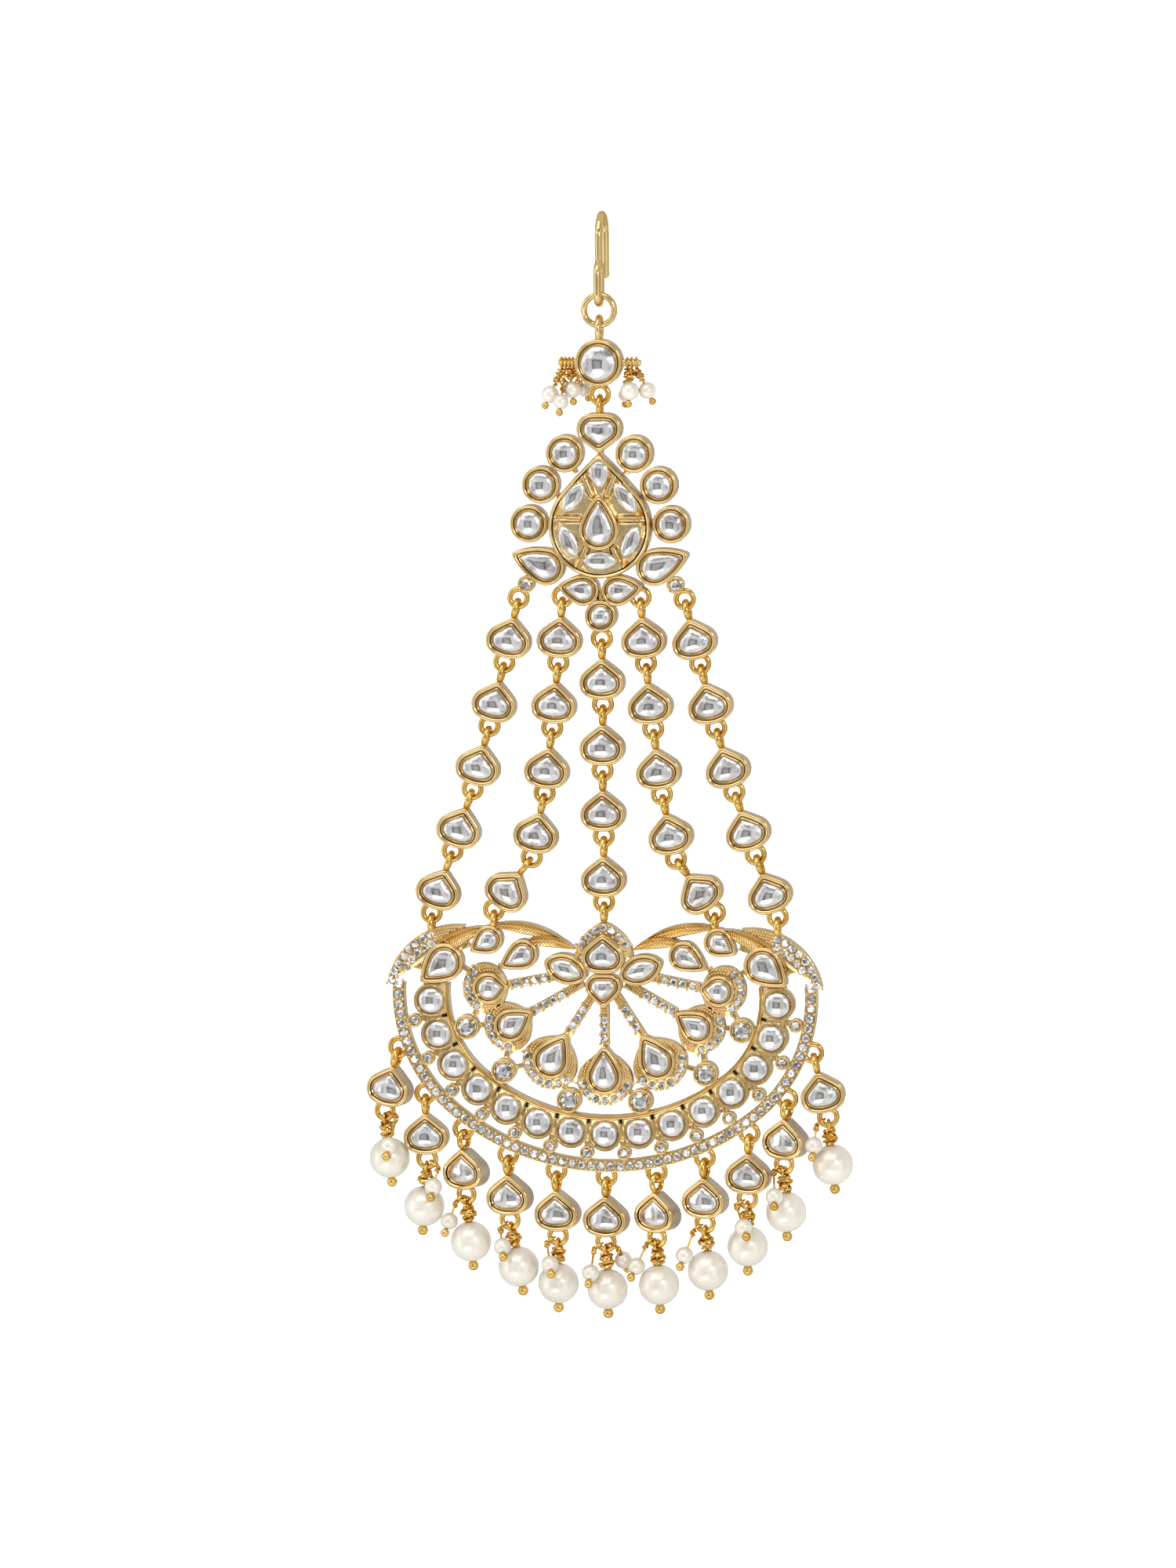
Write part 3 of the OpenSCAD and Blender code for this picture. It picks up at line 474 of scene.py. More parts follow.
# Gold with the fine slanted cuts of a feather, which run along the leaf's own flow map
def engravedFinish():
    look = {"cuts": 2.3, "slant": 0.9, "depth": 0.7, "low": (0.72, 0.46, 0.14), "high": (0.95, 0.74, 0.38)}
    finish, tree, shader = newFinish("goldEngraved", {
        "Metallic": 1.0, "Base Color": (0.86, 0.58, 0.22, 1), "Specular Tint": (0.86, 0.62, 0.3, 1)})
    flow = addNode(tree, "ShaderNodeUVMap", uv_map="flow").outputs["UV"]
    split = addNode(tree, "ShaderNodeSeparateXYZ", {"Vector": flow})
    slant = addNode(tree, "ShaderNodeMath", {0: split.outputs["Y"], 1: look["slant"]}, operation="MULTIPLY")
    along = addNode(tree, "ShaderNodeMath", {0: split.outputs["X"], 1: slant.outputs[0]}, operation="ADD")
    turns = addNode(tree, "ShaderNodeMath", {0: along.outputs[0], 1: 2 * math.pi * look["cuts"]},
                    operation="MULTIPLY")
    cut = addNode(tree, "ShaderNodeMath", {0: turns.outputs[0]}, operation="SINE").outputs[0]
    addBump(tree, shader, cut, look["depth"], 0.00005)
    # The tint follows the bump, so the troughs of the cuts are darker: painted shade in the cuts
    tint = addRamp(tree, addRange(tree, cut, -1, 1, 0, 1), [(0.0, look["low"]), (0.7, look["high"])])
    tree.links.new(tint, shader.inputs["Base Color"])
    tree.links.new(addRange(tree, cut, -1, 1, 0.34, 0.2), shader.inputs["Roughness"])
    return finish


goldEngraved = engravedFinish()


# Clear glass over crinkled silver foil: the foil is the base, the glass is the coat
def foilFinish():
    look = {"crinkle": 620.0, "depth": 0.00022, "glass": 1.55}
    finish, tree, shader = newFinish("foiledStone", {
        "Metallic": 1.0, "Base Color": (0.82, 0.83, 0.86, 1), "Coat Weight": 1.0, "Coat Roughness": 0.015,
        "Coat IOR": look["glass"]})
    place3d = addNode(tree, "ShaderNodeTexCoord").outputs["Object"]
    flow = addNode(tree, "ShaderNodeUVMap", uv_map="flow").outputs["UV"]
    edge = addNode(tree, "ShaderNodeSeparateXYZ", {"Vector": flow}).outputs["X"]
    cells = addNode(tree, "ShaderNodeTexVoronoi", {"Vector": place3d, "Scale": look["crinkle"]},
                    feature="SMOOTH_F1").outputs["Distance"]
    cloud = addNoise(tree, 480.0, 4.0, 0.6)
    mix = addNode(tree, "ShaderNodeMath", {0: cells, 1: cloud}, operation="ADD").outputs[0]
    push = addRange(tree, edge, 0.35, 0.95, 0.12, 1.0)
    addBump(tree, shader, mix, push, look["depth"])
    tint = addRamp(tree, cloud, [(0.3, (0.46, 0.41, 0.38)), (0.42, (0.68, 0.67, 0.68)),
                                 (0.58, (0.82, 0.82, 0.84)), (0.7, (0.66, 0.6, 0.52))])
    tree.links.new(tint, shader.inputs["Base Color"])
    tree.links.new(addRange(tree, edge, 0.3, 1.0, 0.09, 0.26), shader.inputs["Roughness"])
    return finish


foiledStone = foilFinish()


# Bright cut glass: light and dark patches from a fine cell pattern are painted reflections on its facets
def brilliantFinish():
    finish, tree, shader = newFinish("brilliantCut", {
        "Metallic": 0.92, "Base Color": (0.9, 0.91, 0.94, 1), "Roughness": 0.05, "Coat Weight": 0.6,
        "Coat Roughness": 0.02})
    place3d = addNode(tree, "ShaderNodeTexCoord").outputs["Object"]
    cells = addNode(tree, "ShaderNodeTexVoronoi", {"Vector": place3d, "Scale": 2900.0}).outputs["Color"]
    paintedGlint = addNode(tree, "ShaderNodeSeparateColor", {"Color": cells}).outputs[0]
    tint = addRamp(tree, paintedGlint, [(0.0, (0.2, 0.2, 0.21)), (0.35, (0.56, 0.56, 0.57)),
                                (0.7, (0.92, 0.92, 0.92))])
    tree.links.new(tint, shader.inputs["Base Color"])
    return finish


brilliantCut = brilliantFinish()


# Cream with a lustre: part of it reflects as a metal does, under a clear coat
def pearlFinish():
    look = {"cream": (0.87, 0.83, 0.75), "shade": (0.8, 0.75, 0.65)}
    finish, tree, shader = newFinish("creamPearl", {
        "Metallic": 0.3, "Base Color": (*look["cream"], 1), "Specular Tint": (*look["shade"], 1),
        "Coat Weight": 1.0, "Coat Roughness": 0.07})
    cloud = addNoise(tree, 170.0, 2.0)
    tint = addRamp(tree, cloud, [(0.35, look["shade"]), (0.6, look["cream"])])
    tree.links.new(tint, shader.inputs["Base Color"])
    addBump(tree, shader, cloud, 0.02, 0.00005)
    tree.links.new(addRange(tree, cloud, 0.3, 0.7, 0.26, 0.3), shader.inputs["Roughness"])
    return finish


creamPearl = pearlFinish()
# Finishes of a metal piece, by slot: 0 polished, 1 pale sides and back, 2 wire, 3 satin, 4 engraved,
# 5 painted shade of the slots, 6 painted shade in the grooves
goldSet = [golds["goldPolished"], golds["goldPale"], golds["goldWire"], golds["goldSatin"], goldEngraved,
           golds["slotPaintedShade"], golds["goldShade"]]
print("finishes ready")


# Geometry Nodes: one small shape on every point, with its own size and turn
def unitTree(finishCount):
    tree = bpy.data.node_groups.new("setUnits", "GeometryNodeTree")
    kinds = {"Points": "Geometry", "Unit": "Object", "Jitter": "Float", "Seed": "Int"}
    kinds.update({f"Finish {k}": "Material" for k in range(finishCount)})
    sockets = {name: tree.interface.new_socket(
        name, in_out="INPUT", socket_type="NodeSocket" + kind).identifier for name, kind in kinds.items()}
    tree.interface.new_socket("Result", in_out="OUTPUT", socket_type="NodeSocketGeometry")
    given = tree.nodes.new("NodeGroupInput").outputs

    def read(name, kind):
        return addNode(tree, "GeometryNodeInputNamedAttribute", {"Name": name}, data_type=kind).outputs[0]

    low = addNode(tree, "ShaderNodeMath", {0: given["Jitter"], 1: -1.0}, operation="MULTIPLY").outputs[0]
    shake = addNode(tree, "FunctionNodeRandomValue", {
        "Min": low, "Max": given["Jitter"], "Seed": given["Seed"]}, data_type="FLOAT_VECTOR").outputs[0]
    both = addNode(tree, "ShaderNodeVectorMath", {0: read("turn", "FLOAT_VECTOR"), 1: shake},
                   operation="ADD").outputs[0]
    rotation = addNode(tree, "FunctionNodeEulerToRotation", {"Euler": both}).outputs[0]
    unit = addNode(tree, "GeometryNodeObjectInfo", {"Object": given["Unit"], "As Instance": True})
    put = addNode(tree, "GeometryNodeInstanceOnPoints", {
        "Points": given["Points"], "Instance": unit.outputs["Geometry"], "Rotation": rotation,
        "Scale": read("size", "FLOAT")})
    last = addNode(tree, "GeometryNodeRealizeInstances", {"Geometry": put.outputs[0]}).outputs[0]
    for k in range(finishCount):
        same = addNode(tree, "FunctionNodeCompare", {2: read("finish", "INT"), 3: k}, data_type="INT",
                       operation="EQUAL").outputs[0]
        last = addNode(tree, "GeometryNodeSetMaterial", {"Geometry": last, "Selection": same,
                                                        "Material": given[f"Finish {k}"]}).outputs[0]
    tree.links.new(last, tree.nodes.new("NodeGroupOutput").inputs[0])
    return tree, sockets


# unit is a shape in millimetres; places are (matrix, size) pairs
def setUnits(name, unit, places, finishes, body, nodes=(), jitter=0.0, seed=7, sharp=40):
    source = bpy.data.objects.new(name + "Unit", makeMesh(name + "Unit", unit, finishes, sharp))
    bpy.context.scene.collection.objects.link(source)
    mesh = bpy.data.meshes.new(name + "Points")
    mesh.from_pydata([tuple(m.translation * mm) for m, s in places], [], [])
    mesh.attributes.new("size", "FLOAT", "POINT").data.foreach_set("value", [s for m, s in places])
    turns = [c for m, s in places for c in m.to_euler("XYZ")]
    mesh.attributes.new("turn", "FLOAT_VECTOR", "POINT").data.foreach_set("vector", turns)
    points = bpy.data.objects.new(name + "Points", mesh)
    bpy.context.scene.collection.objects.link(points)
    tree, sockets = unitTree(len(finishes))
    modifier = points.modifiers.new("setUnits", "NODES")
    modifier.node_group = tree
    modifier[sockets["Unit"]] = source
    modifier[sockets["Jitter"]] = jitter
    modifier[sockets["Seed"]] = seed
    for k, finish in enumerate(finishes):
        modifier[sockets[f"Finish {k}"]] = finish
    graph = bpy.context.evaluated_depsgraph_get()
    result = bpy.data.meshes.new_from_object(points.evaluated_get(graph), preserve_all_data_layers=True,
                                             depsgraph=graph)
    result.name = name
    for o in (points, source):
        bpy.data.objects.remove(o)
    piece = bpy.data.objects.new(name, result)
    bpy.context.scene.collection.objects.link(piece)
    return finishPiece(piece, body, nodes)


def mirrored(rows):
    out = []
    for r in rows:
        out.append(r)
        if r[1]:
            out.append([r[0], -r[1], r[2], -r[3], *r[4:]])
    return out


# Hook and split ring
hookLook = {"wire": 0.575, "bend": 3.175, "bendZ": -2.6, "frontEnd": -4.4, "backStart": -5.5,
            "backTip": -8.4, "eye": 1.6, "eyeTop": -7.9, "eyeLow": -10.5}


def makeHook():
    h, y0 = hookLook, layout["hangY"]
    metal = newMetal()
    path = [(0, y0, h["eyeTop"] + h["eye"] - 0.2), (0, y0, h["frontEnd"])]
    path += [(0, -h["bend"] * math.cos(a), h["bendZ"] + h["bend"] * math.sin(a))
             for a in [math.pi * k / 28 for k in range(29)]]  # over the top to the back
    path += [(0, -y0, h["backStart"]), (0, -y0, h["backTip"])]
    addWire(metal, path, h["wire"], sides=16)
    addBall(metal, h["wire"], place(0, -y0, h["backTip"]), 0, 16, 10)

    def bow(middle, side, start, count):
        r, angles = side * h["eye"], [math.pi * k / 16 + start for k in range(count)]
        return [(0, y0 + r * math.cos(a), middle + r * math.sin(a)) for a in angles]

    eye = bow(h["eyeTop"], 1, math.pi / 2, 9) + bow(h["eyeLow"], -1, 0, 17) + bow(h["eyeTop"], 1, 0, 9)
    addWire(metal, eye, h["wire"], sides=16)
    makePiece("hairHook", metal, goldSet[:1], "hook", ["hair_hook"])


# Two turns of wire side by side; the change from one to the other takes part of a turn
def makeHookRing():
    look = {"radius": 2.22, "wire": 0.43, "half": 0.37, "start": 205, "changeAt": 0.86, "change": 0.28}
    metal, path = newMetal(), []
    for k in range(97):
        t = k / 48
        step = min(1, max(0, (t - look["changeAt"]) / look["change"]))
        a = math.radians(look["start"] + 360 * t)
        y = look["half"] * (2 * step * step * (3 - 2 * step) - 1)
        path.append((look["radius"] * math.cos(a), y, look["radius"] * math.sin(a)))
    addWire(metal, path, look["wire"], place(0, layout["hangY"], layout["ringZ"]), 0, 16)
    makePiece("hookRing", metal, goldSet[:1], "ring", ["hook_ring"])


makeHook()
makeHookRing()
print("hook and ring done")

# Stud with its bars, and the small pearls on wires beside it
studRow = ["round", 0, 0, 0, [3.5], 0.92, -1.5]
studLook = {"bailRadius": 1.62, "bailWire": 0.45, "bailZ": 5.0, "loopZ": -4.65,
            "barY": 0.1, "barWire": 0.5, "barStart": 3.1, "barRound": 5.9, "barReach": 6.1, "back": 1.6}
# Columns: place along the bar, pearl across, back, up, radius
leftPearls = [[-3.95, -2.65, 2.3, -4.2, 1.04], [-4.5, -4.14, 0.2, -4.0, 1.27],
              [-5.05, -5.5, -1.6, -5.6, 1.15], [-5.6, -7.36, 0.2, -4.7, 1.3]]
rightPearls = [[4.1, 3.5, 2.2, -4.9, 1.1], [4.7, 4.5, -0.7, -4.1, 1.38], [5.4, 6.9, 0.6, -4.1, 1.27]]


def makeStud():
    s, metal = studLook, newMetal()
    addSetting(metal, studRow, s["back"], studAt)
    addRing(metal, s["bailRadius"], s["bailWire"], studAt @ place(0, 0, s["bailZ"]) @ sideOn, 0)
    addRing(metal, layout["loopRadius"], layout["loopWire"], studAt @ place(0, 0, s["loopZ"]), 2)
    for side in (-1, 1):
        bar = [(side * s[end], s["barY"], 0) for end in ("barStart", "barRound", "barReach")]
        addWire(metal, bar, s["barWire"], studAt, 0, 16, [1, 1, 0.72])
    makePiece("studSetting", metal, goldSet, "stud", ["connector_setting"])
    makeStones("studStone", [studRow], 0.42, studAt, "stud", "connector_stone")


# Three directions at right angles, the first from start to end
def axes(start, end):
    along = (end - start).normalized()
    side = along.orthogonal().normalized()
    return along, side, along.cross(side)


def addCoil(metal, start, end, radius, wire, turns):
    start, end = Vector(start), Vector(end)
    side, up = axes(start, end)[1:]
    steps, path = int(turns * 14), []
    for k in range(steps + 1):
        a = 2 * math.pi * k / 14
        path.append(start.lerp(end, k / steps) + (side * math.cos(a) + up * math.sin(a)) * radius)
    addWire(metal, path, wire, studAt, 2, 6)


# A tangled wrap of wire round a pin, as a hand-turned loop leaves it
def addKnot(metal, start, end, reach, wire, turns, matrix, seed):
    start, end = Vector(start), Vector(end)
    along, side, up = axes(start, end)
    steps, path = int(turns * 16), []
    for k in range(steps + 1):
        t, a = k / steps, 2 * math.pi * k / 16 + seed
        r = reach * (0.62 + 0.38 * math.sin(math.pi * t)) * (1 + 0.2 * math.sin(2.3 * a + seed))
        drift = 0.2 * math.sin(1.37 * a + 2 * seed) * math.sin(math.pi * t)
        path.append(start.lerp(end, t) + (side * math.cos(a) + up * math.sin(a)) * r + along * drift)
    addWire(metal, path, wire, matrix, 2, 7)


pinLook = {"hole": 0.26, "wire": 0.16, "eye": 0.82, "eyeZ": -0.1, "top": -0.9, "aim": -0.8, "tail": 0.5,
           "ball": 0.55, "knotReach": 0.46, "knotTurns": 4.5, "coilRadius": 0.6, "coilWire": 0.1}


def makeCluster(name, rows, nodes):
    pearls, pins, look, y0 = newMetal(), newMetal(), pinLook, studLook["barY"]
    for k, (bar, x, y, z, r) in enumerate(rows):
        start, middle = Vector((bar, y0, look["top"])), Vector((x, y, z))
        along = (middle - Vector((bar, y0, look["aim"]))).normalized()
        tail = middle + along * (r + look["tail"])
        addPearl(pearls, r, look["hole"], studAt @ pointAlong(middle, along), 28, 16)
        addRing(pins, look["eye"], look["wire"], studAt @ place(bar, y0, look["eyeZ"]) @ sideOn, 2, 28, 8)
        addWire(pins, [start, start.lerp(tail, 0.5), tail], look["wire"], studAt, 2)
        low = start.lerp(middle, 1 - (r + 0.2) / (middle - start).length)
        addKnot(pins, start, low, look["knotReach"], look["wire"], look["knotTurns"], studAt, k)
        addCoil(pins, (bar - 0.2, y0, 0), (bar + 0.24, y0, 0), look["coilRadius"], look["coilWire"], 2)
        addBall(pins, look["ball"], studAt @ Matrix.Translation(tail), 2)
    makePiece(name + "Pearls", pearls, [creamPearl], "stud", [nodes + "_pearls"])
    makePiece(name + "Pins", pins, goldSet, "stud", [nodes + "_pins"])


makeStud()
makeCluster("leftCluster", leftPearls, "left_cluster")
makeCluster("rightCluster", rightPearls, "right_cluster")
print("stud and clusters done")

# Crest. Columns of a setting row: shape, across, up, turn, size, wall, front
crestRows = mirrored([
    ["onion", 0, 14.3, 180, [3.36, 3.6, 2.4, 2.35, 55], 1.05, -1.5],
    ["round", 5.12, 10.7, 0, [2.78], 0.9, -1.5],
    ["round", 8.68, 6.1, 0, [2.78], 0.9, -1.5],
    ["round", 10.49, 0.4, 0, [2.78], 0.9, -1.5],
    ["pear", 8, -5.9, 68.6, [2.75, 5.58, 45], 0.9, -1.5],
    ["pear", 2.5, -9.3, 81, [2.32, 3.95, 50], 0.85, -1.5],
    ["round", 0, -13.1, 0, [2.36], 0.86, -1.5]])
innerRows = mirrored([
    ["pear", 0, 8.3, 180, [1.38, 2.55, 50], -0.2, -1.55],
    ["lens", 3.8, 4.35, -36, [4.95, 2.35], -0.2, -1.55],
    ["lens", 4.6, -2.1, 27, [4.8, 2.35], -0.2, -1.55],
    ["lens", 0, -4.95, 90, [4.95, 2.6], -0.2, -1.55]])
centerRow = ["pear", 0, -0.4, 0, [2.93, 5.45, 43], 0.9, -2.5]
tinyRows = mirrored([["round", 11, -8.5, 0, [1.3], 0.48, -1.1]])
panelLook = {"size": [7.53, 10.92, 47], "floor": -0.95, "septum": -1.85, "septumHalf": 0.42, "cove": 1.5,
             "rings": 72, "cuts": 0.13, "wave": 0.05}
# Bars between the panel's stones. Columns: across and up of each end, right side
septa = [[3.0, 1.2, 7.0, 1.25], [1.1, 4.7, 2.75, 8.6], [1.95, -3.1, 3.5, -6.4]]
# Strands. Columns: across and up of the first loop, tilt of each link
strandRows = [[-12.28, -10.6, [-13.1, -13.7, -15.6, -18.5, -19.2]],
              [-5.75, -10.35, [-4.3, -5.9, -7.2, -11.8, -36]],
              [0, -16.45, [0.4, -0.8, 0.6, -0.3]],
              [5.75, -10.35, [4.3, 5.9, 7.2, 11.8, 36]],
              [12.28, -10.6, [13.1, 13.7, 15.6, 18.5, 19.2]]]


def segmentDistance(x, z, x0, z0, x1, z1):
    dx, dz = x1 - x0, z1 - z0
    t = min(1, max(0, ((x - x0) * dx + (z - z0) * dz) / (dx * dx + dz * dz)))
    return math.hypot(x - x0 - t * dx, z - z0 - t * dz)


# The panel's floor rises to its rim and to the bars, and waves a little as a cast one does
def panelDepth(x, z, toRim):
    p = panelLook
    rise = max(0.0, 1 - toRim / p["cove"]) ** 2
    for x0, z0, x1, z1 in septa:
        d = segmentDistance(abs(x), z, x0, z0, x1, z1)
        rise = max(rise, 1 / (1 + (d / p["septumHalf"]) ** 6))
    wave = p["wave"] * math.sin(x * 2.1) * math.cos(z * 1.7)
    return p["floor"] + wave + (p["septum"] - p["floor"]) * min(1, rise)


def makePanel(metal):
    p = panelLook
    section = [[0.3, 1.35, 1], [0.02, 1.35, 1], [0.0, 1.2, 1], [0.0, -1.35, 1], [0.05, -1.7, 0],
               [0.16, -1.92, 0], [0.3, -2.0, 0], [0.46, -1.92, 0], [0.6, -1.72, 0], [0.68, -1.5, 0],
               [0.72, -1.2, 0]]
    sweep(metal, "pear", p["size"], section, crestAt, capEnd=False)
    rim = outline("pear", p["size"], 0.7)
    n, dense = len(rim), []
    for i in range(n):
        a, b = rim[i], rim[(i + 1) % n]
        cuts = max(1, round(math.hypot(b[0] - a[0], b[1] - a[1]) / p["cuts"]))
        dense += [(a[0] + (b[0] - a[0]) * k / cuts, a[1] + (b[1] - a[1]) * k / cuts) for k in range(cuts)]
    rings = []
    for k in range(p["rings"]):
        s = 1 - k / p["rings"]
        rings.append([(x * s, panelDepth(x * s, z * s, math.hypot(x, z) * (1 - s)), z * s)
                      for x, z in dense])
    sweepRings(metal, rings, 3, crestAt)
    fan(metal, rings[-1], (0, p["floor"], 0), 3, crestAt)
    plate = outline("pear", [p["size"][0] - 0.02, p["size"][1] - 0.03, p["size"][2]])
    addPlate(metal, plate, 1.1, 1.4, crestAt, 0.05, 1)


def makeCrest():
    metal = newMetal()
    for r in crestRows:
        addSetting(metal, r, 1.6, crestAt)
    for r in tinyRows:
        addSetting(metal, r, 1.0, crestAt, 0.6)
    addSetting(metal, centerRow, 1.4, crestAt)
    makePanel(metal)
    # Small webs behind the border that carry its settings
    for r in crestRows:
        addBar(metal, r[1] * 0.72, r[2] * 0.72, r[1], r[2], 0.4, -0.3, 1.38, crestAt, 0.1)
    addWire(metal, [(0, 0.6, -9.6), (0, 0.6, -12)], 0.8, crestAt, 1, 12)
    for s in strandRows:
        addRing(metal, layout["loopRadius"], layout["loopWire"], crestAt @ place(s[0], 0, s[1]), 2)
    addRing(metal, layout["loopRadius"], layout["loopWire"], crestAt @ place(0, 0, 17.72) @ sideOn, 2)
    makePiece("crestFrame", metal, goldSet, "crest", ["crest_frame"])

    makeStones("crestBorderStones", crestRows, 0.3, crestAt, "crest", "crest_border_stones")
    makeStones("crestCenterStone", [centerRow], 0.26, crestAt, "crest", "crest_center_stone")
    makeStones("crestInnerStones", innerRows, 0.28, crestAt, "crest", "crest_inner_stones", 0.3)
    brilliants, unit = newMetal(), brilliantUnit()
    for r in tinyRows:
        at = crestAt @ place(r[1], -0.9, r[2]) @ Matrix.Scale(0.86, 4)
        addMesh(brilliants, unit["verts"], unit["faces"], 0, at)
    makePiece("crestBrilliants", brilliants, [brilliantCut], "crest", ["crest_brilliants"], 0)


makeCrest()
print("crest done")

# Teardrop links: one shape, hung in the strands and in the drops
linkRow = ["onion", 0, -2.8 - 3.72, 0, [3.33, 3.72, 2.48, 2.3, 55], 1.05, -1.3]
linkLook = {"back": 1.7, "bailWire": 0.36, "bailHalf": 0.46, "rise": 0.34}


def linkShape():
    metal = newMetal()
    addSetting(metal, linkRow, linkLook["back"], Matrix())
    bail = place(0, 0, -layout["bailDrop"]) @ sideOn
    addRing(metal, layout["loopRadius"], linkLook["bailWire"], bail, 2, 28, 10, linkLook["bailHalf"])
    addRing(metal, layout["loopRadius"], layout["loopWire"], place(0, 0, -layout["linkPitch"]), 2, 32, 10)
    return metal


def linkStone():
    glass = newMetal()
    addDome(glass, linkRow, linkLook["rise"], Matrix())
    return glass


def strandPlaces():
    out = []
    for x, z, tilts in strandRows:
        z += layout["crestZ"]
        for tilt in tilts:
            out.append((place(x, layout["hangY"], z) @ Matrix.Rotation(math.radians(-tilt), 4, "Y"), 1.0))
            x += layout["linkPitch"] * math.sin(math.radians(tilt))
            z -= layout["linkPitch"] * math.cos(math.radians(tilt))
    return out


setUnits("strandLinks", linkShape(), strandPlaces(), goldSet, "crest",
         [f"strand_{i}_links" for i in range(1, 6)])
setUnits("strandStones", linkStone(), strandPlaces(), [foiledStone], "crest",
         [f"strand_{i}_stones" for i in range(1, 6)], sharp=60)
print("strands done")

# Crescent pendant, from the middle of the row's widest place
rowLook = {"sideRadius": 17.5, "inward": 8.26, "lowRadius": 30.46, "lowMiddle": 9.99, "bend": 39.59,
           "pitch": 5.07, "cells": 15, "ringOut": 4.83, "smallOut": 2.95, "bigOut": -4.42, "loopOut": 6.4,
           "top": 1.6, "stoneTop": 1.0, "hug": 2.3}
bendLength = rowLook["lowRadius"] * math.radians(rowLook["bend"])


def rowTurn(s):
    if abs(s) <= bendLength:
        return math.degrees(s / rowLook["lowRadius"])
    return math.copysign(rowLook["bend"] + math.degrees((abs(s) - bendLength) / rowLook["sideRadius"]), s)


def turnPoint(turn, out):
    low = abs(turn) <= rowLook["bend"]
    r = (rowLook["lowRadius"] if low else rowLook["sideRadius"]) + out
    a = math.radians(turn)
    x = (0 if low else math.copysign(rowLook["inward"], turn)) + r * math.sin(a)
    return x, (rowLook["lowMiddle"] if low else 0) - r * math.cos(a)


def rowPoint(s, out=0.0):
    return turnPoint(rowTurn(s), out)


# Middles of so many cells in a row, measured along it
def rowSpots(count):
    return [(k - (count - 1) / 2) * rowLook["pitch"] for k in range(count)]


def rowAt(s, out=0.0, y=0.0, turned=False):
    x, z = rowPoint(s, out)
    return crescentAt @ shift(x, z, -rowTurn(s) if turned else 0, y)


# Runs a closed section of (out, depth) points along the row, cut off level at both upper ends
def addRowSection(metal, section, slots):
    middle, top, steps = sum(p[0] for p in section) / len(section), rowLook["top"], 150
    last = 90 + math.degrees(math.asin(top / (rowLook["sideRadius"] + middle)))
    turns = [last * (2 * k / steps - 1) for k in range(steps + 1)]
    n, verts = len(section), []
    for k, turn in enumerate(turns):
        for out, y in section:
            x, z = turnPoint(turn, out)
            if k in (0, steps):
                z = top
            verts.append((x, y, z))
    faces, kinds = [], []
    for k in range(steps):
        for i in range(n):
            j = (i + 1) % n
            faces.append([k * n + i, (k + 1) * n + i, (k + 1) * n + j, k * n + j])
            kinds.append(slots[i])
    addMesh(metal, verts, faces, kinds, crescentAt)
    for k in (0, steps):
        ring = verts[k * n:(k + 1) * n]
        flat = [Vector((v[0], -v[1], 0)) for v in ring]
        caps = []
        for a, b, c in tessellate_polygon([flat]):
            up = (flat[b] - flat[a]).cross(flat[c] - flat[a]).z > 0
            # Both ends face up, and the section is mirrored at the left end
            caps.append([a, b, c] if up else [a, c, b])
        addMesh(metal, ring, caps, 1, crescentAt)


fanRows = mirrored([
    ["pear", 0, -11.9, 0, [2.74, 4.8, 45], 0.95, -1.9, 7],
    ["pear", 7.88, -9.57, -30.7, [2.78, 4.73, 45], 0.95, -1.9, 7],
    ["pear", 13.9, -4.48, -57.5, [2.42, 4.13, 46], 0.86, -1.9, 5],
    ["pear", 17.1, 1, -85, [2.35, 3.15, 52], 0.84, -1.9, 5]])
wingRows = mirrored([
    ["onion", 0, 5.73, 0, [3.22, 3.65, 2.35, 2.3, 55], 1.05, -2.1],
    ["onion", 0, 1.5, 180, [2.72, 3.3, 1.85, 1.8, 52], 0.9, -1.9],
    ["lens", 5.55, 4, 70, [7, 4.5], 0.9, -2],
    ["pear", 23.58, 4.8, 128.9, [2.85, 4.75, 47], 0.95, -2],
    ["pear", 17, 8.2, 122.4, [2.13, 3.35, 50], 0.82, -1.8],
    ["pear", 11.9, 6.1, 119.3, [2.25, 4.1, 45], 0.86, -1.9]])
# Spokes. Columns: outer end, inner end, then the first and last stone's distance from the inner end
spokeRows = [[0, -7.3, 0, -1.4, 2.2, 5.0, 3], [5.9, -6.4, 1.2, 0.85, 3.5, 6.4, 3],
             [10.6, -2.4, 3.1, 1.85, 3.7, 7.9, 4], [14.2, 1.4, 6.6, 2.9, 2.4, 6.6, 4]]
leafRows = [[[4.2, 6.8], [12.2, 7.6], 1.7, 0.1], [[5.6, 7.9], [17.2, 10.2], 1.6, 0.15],
            [[17.2, 10.0], [27.4, 3.6], 2.1, 0.3]]
# Pave wing: its ends, the bow of its edges, and where its stones and grains lie
wingLook = {"ends": [[20.4, 10.2], [32.3, 1.6]], "outer": 2.9, "middle": 0.4, "inner": 0.65,
            "step": 0.084, "row": [0.36, 0.78, 8], "secondRow": [0.4, 2.02, 5], "grains": [0.05, 0.026, 12],
            "grainRow": [0.4, 0.42], "grain": 0.2}
# Narrow bars that join the parts. Columns: across and up of each end
neckRows = [[15.4, 4.3, 17, 1.6], [20, 7.4, 23, 6], [20, 3.2, 22, 4.4], [26.4, 3.4, 29, 4.4],
            [24.6, -0.6, 24.6, 3]]
bigStones = [6.25, 18.7, 29.8]  # distance along the row
paveLook = {"stone": 0.65, "bead": 0.24, "pitch": 1.44, "beadAside": 0.62}
haloLook = {"wide": 1.62, "low": 0.9, "reach": 1.15, "taper": 0.75, "rowOut": 0.88,
            "grainRows": (0.3, 0.74, 1.18), "grainPitch": 0.46, "grain": 0.23}
crownLook = {"out": 1.65, "rowOut": 0.9, "low": -0.6, "pitch": 1.36, "count": 7}
